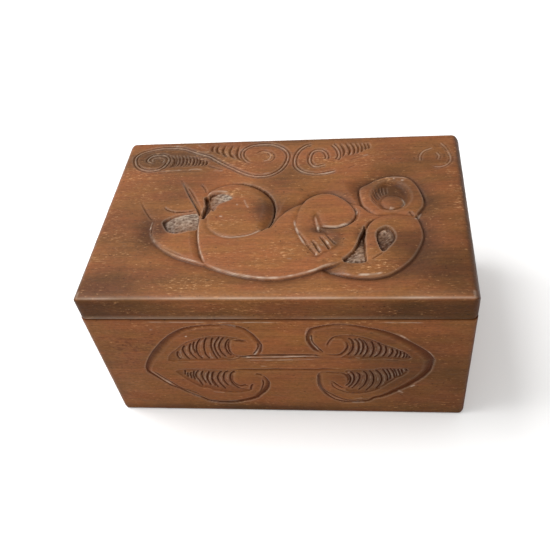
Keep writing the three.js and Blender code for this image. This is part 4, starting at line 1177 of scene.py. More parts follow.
class Finishes:
    """Every finish of the box, made once."""

    def __init__(self) -> None:
        """Makes the materials."""
        # Dense reddish hardwood, oiled and waxed: orange-tan in the light, dark brown in the cuts with dirt
        # and painted shade
        self.carved = WoodFinish("oiled_carved_hardwood", dark=0x492c17, mid=0x774928, light=0x965f35,
                                 grime=0x2e170a, rubbed=0xb98d63, raw=0x958677, specular=0.11).make()
        # The same wood on the plain walls, a little darker as painted shade on the upright faces, and less
        # shiny
        walls = WoodFinish("oiled_hardwood_walls", dark=0x40260f, mid=0x6c4122, light=0x89552c,
                           grime=0x351407, rubbed=0xb08055, raw=0x8d7a69, specular=0.05)
        self.walls = walls.make()
        self.case_end = replace(walls, name="oiled_hardwood_end_walls", along=1).make()
        # The same timber, planed but never waxed: paler and dull
        inside = WoodFinish("planed_hardwood_inside", dark=0x60402b, mid=0x8a6044, light=0xa57b5a,
                            grime=0x3a2415, rubbed=0xc6a07a, raw=0xa88d70, roughness=0.66,
                            streak=0.55, fleck=0.3)
        self.inside = inside.make()
        self.inside_end = replace(inside, name="planed_hardwood_inside_ends", along=1).make()
        # Pale softwood, planed only: wide growth lines and no shine
        self.bottom = WoodFinish("planed_pale_softwood", dark=0x6f4d33, mid=0x94704f, light=0xab8864,
                                 grime=0x44301f, rubbed=0xbc9c78, raw=0xa88d70, roughness=0.7,
                                 streak=0.8).make()
        # Cast brass that has gone brown except where it is touched, and iron with a thin dark skin
        self.brass = MetalFinish("tarnished_brass", clean=0xb08a4c, dull=0x6b5030, roughness=0.38).make()
        self.iron = MetalFinish("oxidised_iron", clean=0x5a5048, dull=0x33291f, roughness=0.55).make()


# Meshes


def to_object(bm: Shape, name: str) -> Piece:
    """Puts a mesh in the scene, from millimetres to metres.

    Args:
        bm: The mesh, which is freed.
        name: The piece's name.

    Returns:
        The piece.
    """
    bmesh.ops.scale(bm, vec=(MM, MM, MM), verts=bm.verts)
    mesh = bpy.data.meshes.new(name)
    bm.to_mesh(mesh)
    bm.free()
    piece = bpy.data.objects.new(name, mesh)
    bpy.context.scene.collection.objects.link(piece)
    return piece


def block(low: Sequence[float], high: Sequence[float]) -> Shape:
    """A box between two corners.

    Args:
        low: Its lowest corner, in millimetres.
        high: Its highest.

    Returns:
        The mesh.
    """
    bm = bmesh.new()
    centre = [(a + b) / 2 for a, b in zip(low, high)]
    spread = Matrix.Diagonal([b - a for a, b in zip(low, high)] + [1.0])
    bmesh.ops.create_cube(bm, size=1.0, matrix=Matrix.Translation(centre) @ spread)
    return bm


def bar_along_x(radius: float, low: float, high: float, y: float, z: float, sides: int) -> Shape:
    """A round bar along X.

    Args:
        radius: Its radius, in millimetres.
        low: Where it starts.
        high: Where it ends.
        y: Where it lies.
        z: How high it lies.
        sides: How many sides it has.

    Returns:
        The mesh.
    """
    bm = bmesh.new()
    place = Matrix.Translation(((low + high) / 2, y, z)) @ Matrix.Rotation(math.pi / 2, 4, "Y")
    bmesh.ops.create_cone(bm, cap_ends=True, segments=sides, radius1=radius, radius2=radius,
                          depth=high - low, matrix=place)
    return bm


def turned(profile: Points, place: Matrix, sides: int) -> Shape:
    """A turned shape.

    Args:
        profile: Its radius and height at each corner, from one end of the axis to the other.
        place: Where its axis stands.
        sides: How many steps a full turn has.

    Returns:
        The mesh.
    """
    bm = bmesh.new()
    verts = [bm.verts.new((radius, 0, z)) for radius, z in profile]
    edges = [bm.edges.new(pair) for pair in zip(verts, verts[1:])]
    bmesh.ops.spin(bm, geom=verts + edges, cent=(0, 0, 0), axis=(0, 0, 1), angle=math.tau, steps=sides,
                   use_merge=True)
    bmesh.ops.remove_doubles(bm, verts=bm.verts, dist=1e-4)
    bmesh.ops.recalc_face_normals(bm, faces=bm.faces)
    bmesh.ops.transform(bm, matrix=place, verts=bm.verts)
    return bm


def cut_out(piece: Piece, tools: Iterable[Shape]) -> None:
    """Cuts shapes out of a piece.

    Args:
        piece: The piece.
        tools: The shapes, in millimetres, which are used up.
    """
    for number, bm in enumerate(tools):
        tool = to_object(bm, f"tool_{number}")
        modifier = piece.modifiers.new("cut", "BOOLEAN")
        modifier.operation, modifier.solver, modifier.object = "DIFFERENCE", "MANIFOLD", tool
        graph = bpy.context.evaluated_depsgraph_get()
        mesh = bpy.data.meshes.new_from_object(piece.evaluated_get(graph))
        piece.modifiers.clear()
        old, piece.data = piece.data, mesh
        mesh.name = old.name
        bpy.data.meshes.remove(old)
        bpy.data.objects.remove(tool)


def paint(piece: Piece, *materials: bpy.types.Material) -> None:
    """Gives a piece its materials, in place of any that it has."""
    piece.data.materials.clear()
    for material in materials:
        piece.data.materials.append(material)


def shade(piece: Piece, degrees: float = 38.0) -> None:
    """Shades a piece smooth, except across edges sharper than an angle and on its large flat faces."""
    mesh = piece.data
    if "custom_normal" in mesh.attributes:
        mesh.attributes.remove(mesh.attributes["custom_normal"])
    mesh.shade_smooth()
    mesh.set_sharp_from_angle(angle=math.radians(degrees))
    mesh.polygons.foreach_set("use_smooth", [face.area < FLAT_AREA for face in mesh.polygons])


def settle(piece: Piece, body: Body, nodes: Sequence[str]) -> None:
    """Gives a piece its body and hides the solids that it stands for."""
    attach(piece, body.value)
    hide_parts(*nodes)
    LOG.info("%s: %d faces", piece.name, len(piece.data.polygons))


def dressed_copy(node: str, width: float) -> Piece:
    """Copies a solid as one closed mesh with its arrises eased.

    Args:
        node: The solid's name.
        width: How far an arris is eased, in millimetres.

    Returns:
        The new piece.
    """
    bm = bmesh.new()
    bm.from_mesh(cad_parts[node].data)
    bmesh.ops.scale(bm, vec=(1 / MM,) * 3, verts=bm.verts)
    bmesh.ops.remove_doubles(bm, verts=bm.verts, dist=1e-3)
    bmesh.ops.dissolve_limit(bm, angle_limit=math.radians(1), verts=bm.verts, edges=bm.edges)
    limit = math.radians(ARRIS_ANGLE)
    sharp = [edge for edge in bm.edges if len(edge.link_faces) == 2 and edge.calc_face_angle(0) > limit]
    bmesh.ops.bevel(bm, geom=sharp, offset=width, offset_type="OFFSET", segments=2, profile=0.5,
                    affect="EDGES", clamp_overlap=True, material=-1)
    return to_object(bm, f"{node}_dressed")


class CarvedNet:
    """The fine net of points that a carved face is made of, in a rounded rectangle."""

    def __init__(self, width: float, height: float, cell: float, end_radius: float, end_steps: int,
                 low_radius: float, high_radius: float, edge_steps: int,
                 corners: tuple[float, float]) -> None:
        """Spaces the points, closer where the face turns over its edges.

        Args:
            width: The face's width, in millimetres.
            height: Its height.
            cell: How far apart the points are in the open face.
            end_radius: How far in the ends are rounded over.
            end_steps: The points over that rounding.
            low_radius: The rounding of the edge at v = 0.
            high_radius: The rounding of the other long edge.
            edge_steps: The points over those roundings.
            corners: The corner radius of the outline at v = 0, and at the other edge.
        """
        self.width, self.height, self.cell = width, height, cell
        self.end_radius, self.low_radius, self.high_radius = end_radius, low_radius, high_radius
        self.corners = corners
        self.across = self.ticks(width, cell, end_radius, end_radius, end_steps)
        self.down = self.ticks(height, cell, low_radius, high_radius, edge_steps)
        self.u, self.v = np.meshgrid(self.across, self.down)
        self.pull_corners()

    @staticmethod
    def ticks(length: float, cell: float, low: float, high: float, steps: int) -> Field:
        """Spaces points along one side.

        Args:
            length: The side's length.
            cell: The usual distance.
            low: The rounding at its start.
            high: The rounding at its end.
            steps: The points over each rounding.

        Returns:
            The places, from 0.
        """
        turn = np.linspace(0, math.pi / 2, steps + 1)[1:]
        count = round((length - low - high) / cell)
        start = (low - low * np.sin(turn))[::-1]
        middle = np.linspace(low, length - high, count + 1)
        return np.concatenate([start, middle, length - high + high * np.sin(turn)])

    def rounded_corners(self) -> Iterable[tuple[float, int, int, Field, Field]]:
        """Goes through the rounded corners of the outline.

        Yields:
            The radius, which way the corner lies across and down, and how far past the centre of its
            rounding each point is across and down.
        """
        for radius, down in zip(self.corners, (-1, 1)):
            for across in (-1, 1):
                if radius > 0:
                    a = radius - self.u if across < 0 else self.u - self.width + radius
                    b = radius - self.v if down < 0 else self.v - self.height + radius
                    yield radius, across, down, a, b

    def pull_corners(self) -> None:
        """Pulls the points of each corner into its round outline."""
        for radius, across, down, past_a, past_b in self.rounded_corners():
            a, b = past_a / radius, past_b / radius
            here = (a > 0) & (b > 0)
            new_a = (a * np.sqrt(np.clip(1 - b * b / 2, 0, 1)) - a) * radius
            new_b = (b * np.sqrt(np.clip(1 - a * a / 2, 0, 1)) - b) * radius
            self.u = np.where(here, self.u + across * new_a, self.u)
            self.v = np.where(here, self.v + down * new_b, self.v)

    def edge_distance(self) -> Field:
        """How far each point is from the face's outline."""
        to_ends = np.minimum(self.u, self.width - self.u)
        distance = np.minimum(to_ends, np.minimum(self.v, self.height - self.v))
        for radius, _, _, a, b in self.rounded_corners():
            distance = np.where((a > 0) & (b > 0), radius - np.hypot(a, b), distance)
        return np.maximum(distance, 0)

    def fall(self) -> Field:
        """How far the face falls away where it turns over its edges."""
        def round_over(distance: Field, radius: Field | float) -> Field:
            """The fall of a round edge at a distance from it."""
            inner = np.clip(1 - distance / radius, 0, 1)
            return radius * (1 - np.sqrt(np.clip(1 - inner * inner, 0, 1)))

        at_end = round_over(np.minimum(self.u, self.width - self.u), self.end_radius)
        radius = np.where(self.v < self.height / 2, self.low_radius, self.high_radius)
        at_edge = round_over(self.edge_distance(), radius)
        return (at_end**2.5 + at_edge**2.5) ** 0.4

    def bmesh(self, place: Callable[[Field, Field, Field], Field], heights: Field) -> Shape:
        """Builds the net.

        Args:
            place: Gives x, y and z in millimetres for u, v and height.
            heights: The height of each point above the face.

        Returns:
            The mesh, open at its border.
        """
        rows, columns = self.u.shape
        bm = bmesh.new()
        bmesh.ops.create_grid(bm, x_segments=columns - 1, y_segments=rows - 1, size=1.0)
        places = place(self.u, self.v, heights)
        for vert in bm.verts:
            column = round((vert.co.x + 1) / 2 * (columns - 1))
            row = round((1 - vert.co.y) / 2 * (rows - 1))
            vert.co = places[row, column]
        return bm

    def sample(self, sheet: Field, u: Field, v: Field) -> Field:
        """Reads a sheet of values at any places on the face.

        Args:
            sheet: The values.
            u: Places across.
            v: Places down.

        Returns:
            A value for each place.
        """
        a = np.clip(np.interp(u, self.across, np.arange(len(self.across))), 0, len(self.across) - 1.001)
        b = np.clip(np.interp(v, self.down, np.arange(len(self.down))), 0, len(self.down) - 1.001)
        i, j = a.astype(int), b.astype(int)
        a, b = a - i, b - j
        top = sheet[j, i] * (1 - a) + sheet[j, i + 1] * a
        low = sheet[j + 1, i] * (1 - a) + sheet[j + 1, i + 1] * a
        return top * (1 - b) + low * b


def extend(bm: Shape, move: Callable[[Vector], Vector]) -> None:
    """Draws the open border of a mesh on to new places.

    Args:
        bm: The mesh.
        move: Gives the new place of a border point.
    """
    border = [edge for edge in bm.edges if edge.is_boundary]
    made = bmesh.ops.extrude_edge_only(bm, edges=border)
    for vert in (item for item in made["geom"] if isinstance(item, bmesh.types.BMVert)):
        vert.co = move(vert.co)


def close(bm: Shape) -> None:
    """Closes the open border of a mesh with one face and turns every face outwards."""
    border = [edge for edge in bm.edges if edge.is_boundary]
    bmesh.ops.contextual_create(bm, geom=border)
    bmesh.ops.recalc_face_normals(bm, faces=bm.faces)


def keep_values(piece: Piece, values: dict[str, Field]) -> None:
    """Keeps a value on each point of a mesh for its material to read."""
    for name, value in values.items():
        layer = piece.data.attributes.new(name, "FLOAT", "POINT")
        layer.data.foreach_set("value", value.astype(np.float32))


def points_of(piece: Piece) -> Field:
    """The points of a piece's mesh, in millimetres, one in each row."""
    places = np.zeros(len(piece.data.vertices) * 3)
    piece.data.vertices.foreach_get("co", places)
    return places.reshape(-1, 3) / MM


def midway(first: Points, second: Points) -> Points:
    """A line that runs halfway between two others.

    Args:
        first: One line.
        second: The other, drawn the same way round.

    Returns:
        The line between them.
    """
    pair = [through(line, False, 0.7) for line in (first, second)]
    rows = [line[np.linspace(0, len(line) - 1, 7).astype(int)] for line in pair]
    return tuple(map(tuple, (rows[0] + rows[1]) / 2))


def blobs(u: Field, v: Field, spots: Iterable[tuple[Point, float, float, float]]) -> Field:
    """Adds up soft round patches.

    Args:
        u: Places across.
        v: Places down.
        spots: For each patch its middle, its two half sizes and its strength.

    Returns:
        The sum at each place.
    """
    total = np.zeros_like(u)
    for (middle_u, middle_v), half_u, half_v, strength in spots:
        total += strength * np.exp(-(((u - middle_u) / half_u) ** 2) - ((v - middle_v) / half_v) ** 2)
    return total


@dataclass
class HingeSizes:
    """Sizes of the two butt hinges and of their screws, in millimetres."""

    length: float = 38.0
    x: float = 70.0
    axis_y: float = 74.0794
    axis_z: float = 101.25
    reach: float = 10.5
    leaf: float = 1.2
    leaf_gap: float = 0.3
    knuckle_radius: float = 2.4
    knuckle_gap: float = 0.3
    knuckle_room: float = 0.4
    past_axis: float = 2.4412
    play: float = 0.2
    sink: float = 0.05
    screw_pitch: float = 24.0
    screw_hole_radius: float = 1.15
    screw_hole_depth: float = 11.0
    clear: float = 2.0

    @property
    def screw_y(self) -> float:
        """Where the screws stand."""
        return self.axis_y - (self.reach + self.knuckle_radius + self.knuckle_gap) / 2

    def recess(self, side: int) -> list[Shape]:
        """What a board gives up for its leaves, knuckles and screws.

        Args:
            side: -1 for the case and 1 for the lid.

        Returns:
            The shapes to cut away.
        """
        cuts = []
        half = self.length / 2 + self.play
        floor = self.leaf_gap / 2 + self.leaf + self.sink
        low, high = (-floor, self.knuckle_radius) if side < 0 else (-self.knuckle_radius, floor)
        near = self.axis_y - self.reach - self.play
        far = self.axis_y + self.past_axis + self.knuckle_radius
        radius, depth = self.screw_hole_radius, self.screw_hole_depth
        hole = ((0, -depth), (radius, -depth), (radius, self.clear), (0, self.clear))
        for x in (-self.x, self.x):
            cuts.append(block((x - half, near, self.axis_z + low), (x + half, far, self.axis_z + high)))
            cuts.append(bar_along_x(self.knuckle_radius + self.knuckle_room, x - half, x + half,
                                    self.axis_y, self.axis_z, 40))
            cuts.extend(turned(hole, self.screw_place(x, end, side), 16) for end in (-1, 1))
        return cuts

    def screw_place(self, x: float, end: int, side: int) -> Matrix:
        """Where one screw stands, from its head downwards.

        Args:
            x: The hinge's middle.
            end: -1 for the left screw and 1 for the right.
            side: -1 on the case and 1 on the lid.

        Returns:
            The place of its head.
        """
        z = self.axis_z + side * (self.leaf_gap / 2 + self.sink)
        turn = Matrix.Rotation(math.pi if side > 0 else 0, 4, "X")
        return Matrix.Translation((x + end * self.screw_pitch / 2, self.screw_y, z)) @ turn


HINGE = HingeSizes()


def on_lid_side(z: Field) -> Field:
    """How far each height is down the lid's sides, from 0 on its top to 1."""
    return 1 - smooth((z - LID_TOP + 4.0) / 2.5)


class LidBoard:
    """The carved lid."""

    def __init__(self, finishes: Finishes) -> None:
        """Keeps the finishes and lays out the net of the top face."""
        self.finishes = finishes
        self.net = CarvedNet(CASE.width, LID_DEPTH, LID.cell, LID.end_radius, end_steps=7,
                             low_radius=LID.edge_radius, high_radius=LID.edge_radius, edge_steps=4,
                             corners=(LID.corner_radius, LID.corner_radius))

    def carve(self) -> Relief:
        """Cuts the figure and the band of spirals.

        Returns:
            The carved face.
        """
        relief = Relief(self.net.u, self.net.v, self.net.cell)
        relief.sink_ground(GROUND_EDGES, depth=2.3, reach=14.0)
        for form in (HEAD_FORM, RING_FORM, TAIL_FORM):
            relief.add_form(form)
        relief.level -= blobs(relief.u, relief.v, (ELBOW_DIP,))
        for form in (BODY_FORM, CURL_FORM):
            relief.add_form(form)
        self.slope_curl(relief)
        for form in (ARM_FORM, SLIT_RIDGE):
            relief.add_form(form)
        self.sink_bowl(relief)
        for stroke in FIGURE_STROKES + FAINT_STROKES:
            relief.add_stroke(stroke)
        for line in BOWL_LINES:
            relief.add_stroke(Stroke(line, width=1.2, depth=0.8))
        for hollow in (MOUTH, BROW, THROAT, EYE, CROOK):
            relief.add_hollow(hollow)
        for line in SPIRAL_LINES:
            relief.add_double(line, gap=2.3, width=1.8, depth=1.1)
        for line in FAINT_LINES:
            relief.add_double(line, gap=2.0, width=1.6, depth=0.45)
        for line in BAND_NOTCHES:
            relief.add_stroke(Stroke(line, width=3.0, depth=1.5, lean=-0.2, start=0.25, end=0.25))
        for points, width, amount in POLISHED_AND_HIGHLIGHT_LINES:
            relief.add_polish_and_highlight(points, width, amount)
        relief.add_unevenness(((0.10, 26, 12, 1), (0.06, 9, 5, 2), (0.03, 4, 2, 3)))
        return relief

    @staticmethod
    def slope_curl(relief: Relief) -> None:
        """Slopes the right side of the large curl down to its edge."""
        inward, where = relief.depth_inside(CURL_FORM.outline, 1.0)
        line = through(CURL, False, 0.9)
        distance, along = relief.measure(line, where)
        slope = smooth(1 - abs(distance) / CURL_SLOPE_WIDTH) * (inward > -0.5)
        relief.level[where] -= CURL_SLOPE_DEPTH * slope * smooth(1.15 - along * 1.15)

    @staticmethod
    def sink_bowl(relief: Relief) -> None:
        """Sinks the bowl of the ring and leaves its boss standing."""
        inward, where = relief.depth_inside(BOWL, 2.0)
        u, v = relief.u[where], relief.v[where]
        bowl = BOWL_DEPTH * smooth(inward / 5.0 + 0.12)
        distance = np.hypot(u - BOSS[0], (v - BOSS[1]) * 1.05)
        boss = np.sqrt(np.clip(1 - (distance / BOSS_RADIUS) ** 2, 0, 1)) ** 0.8
        level = np.maximum(relief.level[where] - bowl, BOWL_FLOOR + BOSS_HEIGHT * boss)
        relief.level[where] = np.where(inward > -1.0, level, relief.level[where])

    def build(self) -> None:
        """Builds, cuts and dresses the board."""
        relief = self.carve()
        border = smooth(self.net.edge_distance() / PLAIN_BORDER)
        heights = LID_TOP - self.net.fall() + np.minimum(relief.heights() - 0.1, 0) * border

        def place(u: Field, v: Field, height: Field) -> Field:
            """Stands the net on the lid."""
            return np.stack([u - CASE.width / 2, LID.back_y - v, height], axis=-1)

        bm = self.net.bmesh(place, heights)
        for z in (*LID.side_rows, LID_LOW + LID.lower_radius):
            extend(bm, lambda co, z=z: Vector((co.x, co.y, z)))
        turns = [step / LID.arris_steps * math.pi / 2 for step in range(LID.arris_steps + 1)]
        for last, turn in zip(turns, turns[1:]):
            by = LID.lower_radius * (1 - math.cos(turn)) - LID.lower_radius * (1 - math.cos(last))
            z = LID_LOW + LID.lower_radius * (1 - math.sin(turn))
            extend(bm, lambda co, by=by, z=z: self.inset(co, by, z))
        close(bm)
        # A narrow rim keeps the painted shade of the seam off the rest of the underside
        under = [face for face in bm.faces if len(face.verts) > 100]
        bmesh.ops.inset_region(bm, faces=under, thickness=LID.rim, use_boundary=True, use_even_offset=True)
        board = to_object(bm, "lid_board_carved")
        cut_out(board, HINGE.recess(1))
        self.dress(board, relief)
        settle(board, Body.LID, ["lid_board"])

    @staticmethod
    def tone(places: Field, sunk: Field) -> Field:
        """Where the lid is darker and lighter: painted shade makes its sunk ground, its sides and its right
        end darker than its top.

        Args:
            places: The points as u, v and z, one in each row.
            sunk: How far the ground is sunk at each.

        Returns:
            The tone, from -1 for the darkest to 1.
        """
        u, v, z = places
        side, at_front, at_back = on_lid_side(z), smooth((v - 146) / 3.0), smooth((7 - v) / 3.0)
        # Painted shade: the ground sunk round the figure is darker
        tone = blobs(u, v, LID_TONES_AND_SHADE) - 0.1 - 0.32 * sunk
        # Painted shade: the upright sides are darker than the top, the back side and the right of the front
        # side most
        tone = tone - side * (0.3 + 0.2 * at_back) - side * at_front * smooth((u - 150) / 90) * 0.5
        # The right end's rounding is darker as painted shade; the left end is darker towards the front
        ends = 0.7 * smooth((u - 235.5) / 3.0) + 0.6 * smooth((3.5 - u) / 3.0) * smooth((v - 90) / 40)
        return np.clip(tone - ends * (1 - 0.8 * side), -1, 1)

    @staticmethod
    def seam_shade_and_end_darkening(places: Field) -> Field:
        """Painted shade along the seam, and darker sides at both ends, most at the front corners."""
        u, v, z = places
        corner = 0.12 + 0.88 * smooth((v - 140) / 8.0)
        at_ends = 0.5 * smooth((u - 234) / 6) + 0.55 * smooth((6 - u) / 6)
        return bell(z, LID_LOW, 0.6) * 0.5 + on_lid_side(z) * corner * at_ends

    @staticmethod
    def arris_wear_and_highlight(places: Field) -> Field:
        """The wear and painted highlights along the front's two long arrises, uneven along them."""
        u, v, z = places
        at_front = smooth((v - 146) / 3.0)
        upper = 0.9 * bell(z, LID_TOP - 0.85, 0.42) * (0.6 + 0.4 * clouds(u, v, 17, 5, seed=21))
        lower = 0.4 * bell(z, LID_LOW + 1.1, 0.45) * smooth(clouds(u, v, 40, 20, seed=22) + 0.6)
        return at_front * (upper + lower)

    @staticmethod
    def inset(co: Vector, by: float, z: float) -> Vector:
        """Moves a point of the lower arris inwards, but not at the back edge, which stops the lid.

        Args:
            co: The point.
            by: How far in.
            z: Its new height.

        Returns:
            The new place.
        """
        half, radius = CASE.width / 2, LID.corner_radius
        over_x = max(abs(co.x) - (half - radius), 0.0)
        over_y = max(-co.y + CASE.front_y + radius, 0.0) if co.y < 0 else 0.0
        length = math.hypot(over_x, over_y)
        if length < 1e-6:
            return Vector((co.x, co.y, z))
        x = co.x - math.copysign(over_x / length * by, co.x)
        return Vector((x, co.y + over_y / length * by, z))

    def dress(self, board: Piece, relief: Relief) -> None:
        """Gives the board its stain, wear, dirt, painted shade and painted highlights.

        Args:
            board: The board.
            relief: Its carving.
        """
        x, y, z = points_of(board).T
        u, v = x + CASE.width / 2, LID.back_y - y
        places = np.stack((u, v, z))
        top = smooth((z - LID_TOP + 8.0) / 3.0)
        edge = np.minimum(np.minimum(u, CASE.width - u), np.minimum(v, LID_DEPTH - v))
        outer = 1 - (z < LID_LOW + 0.1) * smooth((edge - 0.9) / 0.5)
        # Dirt and painted shade: darker in fine cuts, in broad hollows, on the sunk ground and along the
        # seam
        fine, broad = relief.filled(spread=0.85, depth=0.45), relief.filled(spread=4.5, depth=2.2)
        dirt_and_shade = fine * 0.6 + broad * 0.28 + 0.14 * relief.ground
        dirt_and_shade = self.net.sample(dirt_and_shade * (1 - 0.7 * relief.raw), u, v) * top + self.seam_shade_and_end_darkening(places)
        # The rubbed value holds wear and painted highlights
        rubbed = self.net.sample(relief.rubbed(0.22), u, v) * top + self.arris_wear_and_highlight(places) * outer
        keep_values(board, {
            "tone": self.tone(places, self.net.sample(relief.ground, u, v)) * outer,
            "grime": np.clip(dirt_and_shade, 0, 0.92) * outer,
            "rubbed": np.clip(rubbed, 0, 1),
            "raw": self.net.sample(relief.raw, u, v) * top,
            "scuff": np.clip(blobs(u, v, LID_SCUFFS), 0, 1),
        })
        paint(board, self.finishes.carved, self.finishes.walls, self.finishes.inside)
        for face in board.data.polygons:
            upright = abs(face.normal.z) < 0.5 and face.center.z / MM < LID_TOP - 1.6
            beneath = face.normal.z < -0.9 and face.area > WHOLE_SIDE_AREA
            face.material_index = 1 if upright else 2 if beneath else 0
        shade(board, 42)


class FrontBoard:
    """The carved front wall."""

    def __init__(self, finishes: Finishes) -> None:
        """Keeps the finishes and lays out the net of the front face."""
        self.finishes = finishes
        self.net = CarvedNet(CASE.width, CASE.height, CASE.front_cell, CASE.corner_radius, end_steps=5,
                             low_radius=CASE.front_edge_radius, high_radius=CASE.foot_radius,
                             edge_steps=3, corners=(0.0, CASE.corner_radius))

    def carve(self) -> Relief:
        """Cuts the two hearts, the bar between them and the rows of notches.

        Returns:
            The carved face.
        """
        relief = Relief(self.net.u, self.net.v, self.net.cell)
        for stroke in FRONT_STROKES:
            relief.add_stroke(stroke)
        for outline in WEDGES:
            relief.add_hollow(Hollow(outline, depth=0.6, wall=0.9, rough=0.05, raw=0.0))
        for line, follower in zip(HEART_NOTCHES, HEART_NOTCHES[1:] + HEART_NOTCHES[-1:]):
            relief.add_stroke(Stroke(line, width=2.4, depth=1.9, lean=0.2, start=0.05, end=0.05))
            if math.dist(line[1], follower[1]) < NEIGHBOUR_NOTCH:
                # The ridge between two notches gets a painted highlight
                relief.add_polish_and_highlight(midway(line, follower), width=0.9, amount=0.45)
        for points, width, amount in FRONT_POLISH_AND_HIGHLIGHTS:
            relief.add_polish_and_highlight(points, width, amount)
        relief.add_unevenness(((0.07, 30, 14, 5), (0.04, 9, 5, 6), (0.02, 4, 2, 7)))
        return relief

    def build(self) -> None:
        """Builds, cuts and dresses the board."""
        relief = self.carve()
        border = smooth(self.net.edge_distance() / PLAIN_BORDER)
        depths = CASE.front_y + self.net.fall() - np.minimum(relief.heights() * border, 0)

        def place(u: Field, v: Field, height: Field) -> Field:
            """Stands the net on the front of the case."""
            return np.stack([u - CASE.width / 2, height, CASE.height - v], axis=-1)

        bm = self.net.bmesh(place, depths)
        inner = CASE.front_y + CASE.wall
        for y in (CASE.front_y + CASE.front_side_depth, inner):
            extend(bm, lambda co, y=y: Vector((co.x, y, co.z)))
        close(bm)
        board = to_object(bm, "front_board_carved")
        half, lip, over = CASE.width / 2, CASE.front_y + CASE.lip, CASE.wall
        cuts = [block((x - over, lip, -over), (x + over, inner + over, CASE.height + over))
                for x in (-half, half)]
        cuts.append(block((-half + CASE.lip, lip, -over), (half - CASE.lip, inner + over, CASE.bottom)))
        cut_out(board, cuts)
        self.dress(board, relief)
        settle(board, Body.CASE, ["front_board"])

    def dress(self, board: Piece, relief: Relief) -> None:
        """Gives the board its stain, wear, dirt, painted shade and painted highlights.

        Args:
            board: The board.
            relief: Its carving.
        """
        x, y, z = points_of(board).T
        u, v = x + CASE.width / 2, CASE.height - z
        face = 1 - smooth((y - CASE.front_y - 2.0) / 2.0)
        outer = 1 - smooth((y - CASE.front_y - CASE.wall + 0.5) / 0.4)
        # Dirt and painted shade: darker in the cuts, most where they are deep
        sunk = smooth((relief.cut - 0.15) / 0.9)
        fine, broad = relief.filled(spread=0.6, depth=0.35), relief.filled(spread=4.0, depth=1.2)
        dirt_and_shade = fine * 0.5 + broad * 0.15 + 0.42 * sunk
        blots = clouds(u, v, 3.4, 1.7, seed=31) + 0.7 * clouds(u, v, 1.7, 1.2, seed=32)
        blots = smooth((blots - 0.1) / 0.5)
        dirt_and_shade = self.net.sample(dirt_and_shade, u, v) * face + 0.42 * blots * np.clip(blobs(u, v, FRONT_STAINS), 0, 1)
        # Painted shade along the seam at the top, at the foot and at the right end
        seam_foot_and_end_shade = 0.35 * bell(v, 0, 0.9) + 0.6 * bell(z, 0, 1.3) + 0.5 * bell(u, CASE.width, 1.8)
        keep_values(board, {
            "tone": np.clip(blobs(u, v, FRONT_TONES), -1, 1) * outer,
            "grime": np.clip(dirt_and_shade + seam_foot_and_end_shade, 0, 0.9) * outer,
            "rubbed": np.clip(self.net.sample(relief.rubbed(0.2), u, v) * face, 0, 1),
            "raw": np.zeros(len(u)),
            "scuff": np.clip(blobs(u, v, FRONT_SCUFFS), 0, 1) * face,
        })
        paint(board, self.finishes.walls, self.finishes.inside)
        for face in board.data.polygons:
            face.material_index = int(face.normal.y > 0.9 and face.area > WHOLE_SIDE_AREA)
        shade(board, 42)


class PlainBoards:
    """The back, the ends and the bottom."""

    def __init__(self, finishes: Finishes) -> None:
        """Keeps the finishes."""
        self.finishes = finishes

    def build(self) -> None:
        """Builds and dresses the boards."""
        rows = (
            ("back_board", self.finishes.walls, self.finishes.inside, Slot.CASE),
            ("left_end_board", self.finishes.case_end, self.finishes.inside_end, Slot.CASE),
            ("right_end_board", self.finishes.case_end, self.finishes.inside_end, Slot.CASE),
            ("bottom_board", self.finishes.bottom, self.finishes.inside, Slot.BOTTOM),
        )
        across, down = (size / 2 - CASE.wall + CASE.interior_margin for size in (CASE.width, CASE.depth))
        middle = CASE.front_y + CASE.depth / 2
        for node, outer, inner, slot in rows:
            board = dressed_copy(node, CASE.arris)
            paint(board, outer, inner)
            for face in board.data.polygons:
                x, y, z = face.center / MM
                within = abs(x) < across and abs(y - middle) < down and z > CASE.bottom - 0.5
                face.material_index = int(within)
            shade(board)
            settle(board, Body.CASE, [node])


class Metalwork:
    """The hinges, their pins and screws, and the nails."""

    def __init__(self, finishes: Finishes) -> None:
        """Keeps the finishes."""
        self.finishes = finishes

    def build(self) -> None:
        """Dresses every metal solid."""
        for node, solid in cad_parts.items():
            if "hinge" in node or "screw" in node:
                paint(solid, self.finishes.brass)
            elif "nail" in node:
                paint(solid, self.finishes.iron)


@dataclass(frozen=True)
class Lamp:
    """A square soft lamp: its place and size in metres, and its power in watts."""

    name: str
    place: tuple[float, float, float]
    size: float
    power: float


@dataclass(frozen=True)
class Camera:
    """The photographer's camera: angles in degrees, its place in metres, sensor and lens in millimetres."""

    yaw: float = 9.909
    pitch: float = 46.665
    roll: float = 7.677
    place: tuple[float, float, float] = (0.06131, -0.32942, 0.41248)
    sensor: float = 36.0
    lens: float = 44.524
    shift: float = -0.03636


LAMPS = (
    Lamp("key_lamp", (-0.72, 0.08, 1.35), 0.9, 25.0),
    Lamp("fill_lamp", (0.25, -1.2, 0.75), 1.0, 9.5),
    Lamp("back_lamp", (-0.3, 0.9, 1.1), 0.9, 2.0),
)
LIT_PLACE = (0.0, 0.0, 0.06)
ROOM_COLOR = 0xfbfaf8
ROOM_STRENGTH = 0.7
FLOOR_COLOR = 0xe6e6e6
FLOOR_HALF_WIDTH = 2500.0
CAMERA = Camera()


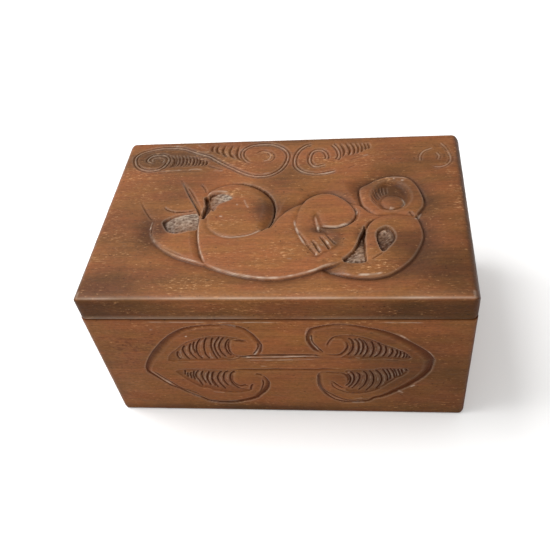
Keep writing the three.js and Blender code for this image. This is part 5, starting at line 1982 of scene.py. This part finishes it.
class Studio:
    """The floor, the light and the camera."""

    def build(self) -> None:
        """Sets up the studio."""
        self.build_floor()
        self.build_light()
        self.build_camera()

    @staticmethod
    def build_floor() -> None:
        """Lays a wide pale floor."""
        bm = bmesh.new()
        bmesh.ops.create_grid(bm, x_segments=8, y_segments=8, size=FLOOR_HALF_WIDTH)
        floor = to_object(bm, "floor")
        material = bpy.data.materials.new("pale_paper")
        material.use_nodes = True
        shader = material.node_tree.nodes["Principled BSDF"]
        shader.inputs["Base Color"].default_value = linear(FLOOR_COLOR)
        shader.inputs["Roughness"].default_value = 0.9
        shader.inputs["Specular IOR Level"].default_value = 0.1
        floor.data.materials.append(material)

    @staticmethod
    def build_light() -> None:
        """Hangs the soft lamps and sets the light of the room."""
        for lamp in LAMPS:
            data = bpy.data.lights.new(lamp.name, "AREA")
            data.shape, data.size, data.energy = "SQUARE", lamp.size, lamp.power
            light = bpy.data.objects.new(lamp.name, data)
            light.location = lamp.place
            aim = Vector(LIT_PLACE) - Vector(lamp.place)
            light.rotation_mode = "QUATERNION"
            light.rotation_quaternion = aim.to_track_quat("-Z", "Y")
            bpy.context.scene.collection.objects.link(light)
        world = bpy.data.worlds.new("room")
        world.use_nodes = True
        world.node_tree.nodes["Background"].inputs[0].default_value = linear(ROOM_COLOR)
        world.node_tree.nodes["Background"].inputs[1].default_value = ROOM_STRENGTH
        bpy.context.scene.world = world
        bpy.context.scene.view_settings.view_transform = "Standard"

    @staticmethod
    def build_camera() -> None:
        """Stands the camera where the picture was taken from."""
        yaw, pitch, roll = (math.radians(angle) for angle in (CAMERA.yaw, CAMERA.pitch, CAMERA.roll))
        level = math.cos(pitch)
        forward = Vector((-math.sin(yaw) * level, math.cos(yaw) * level, -math.sin(pitch)))
        right = Vector((math.cos(yaw), math.sin(yaw), 0))
        down = forward.cross(right)
        rolled_right = right * math.cos(roll) + down * math.sin(roll)
        rolled_down = down * math.cos(roll) - right * math.sin(roll)
        turn = Matrix((rolled_right, -rolled_down, -forward)).transposed().to_4x4()
        data = bpy.data.cameras.new("camera")
        data.sensor_width, data.lens, data.shift_x = CAMERA.sensor, CAMERA.lens, CAMERA.shift
        data.clip_start, data.clip_end = 0.01, 20.0
        camera = bpy.data.objects.new("camera", data)
        camera.matrix_world = Matrix.Translation(CAMERA.place) @ turn
        bpy.context.scene.collection.objects.link(camera)
        bpy.context.scene.camera = camera


def main() -> None:
    """Builds the box and the studio."""
    logging.basicConfig(level=logging.INFO, format="%(name)s %(message)s")
    finishes = Finishes()
    LidBoard(finishes).build()
    FrontBoard(finishes).build()
    PlainBoards(finishes).build()
    Metalwork(finishes).build()
    Studio().build()


if __name__ == "__main__":
    main()
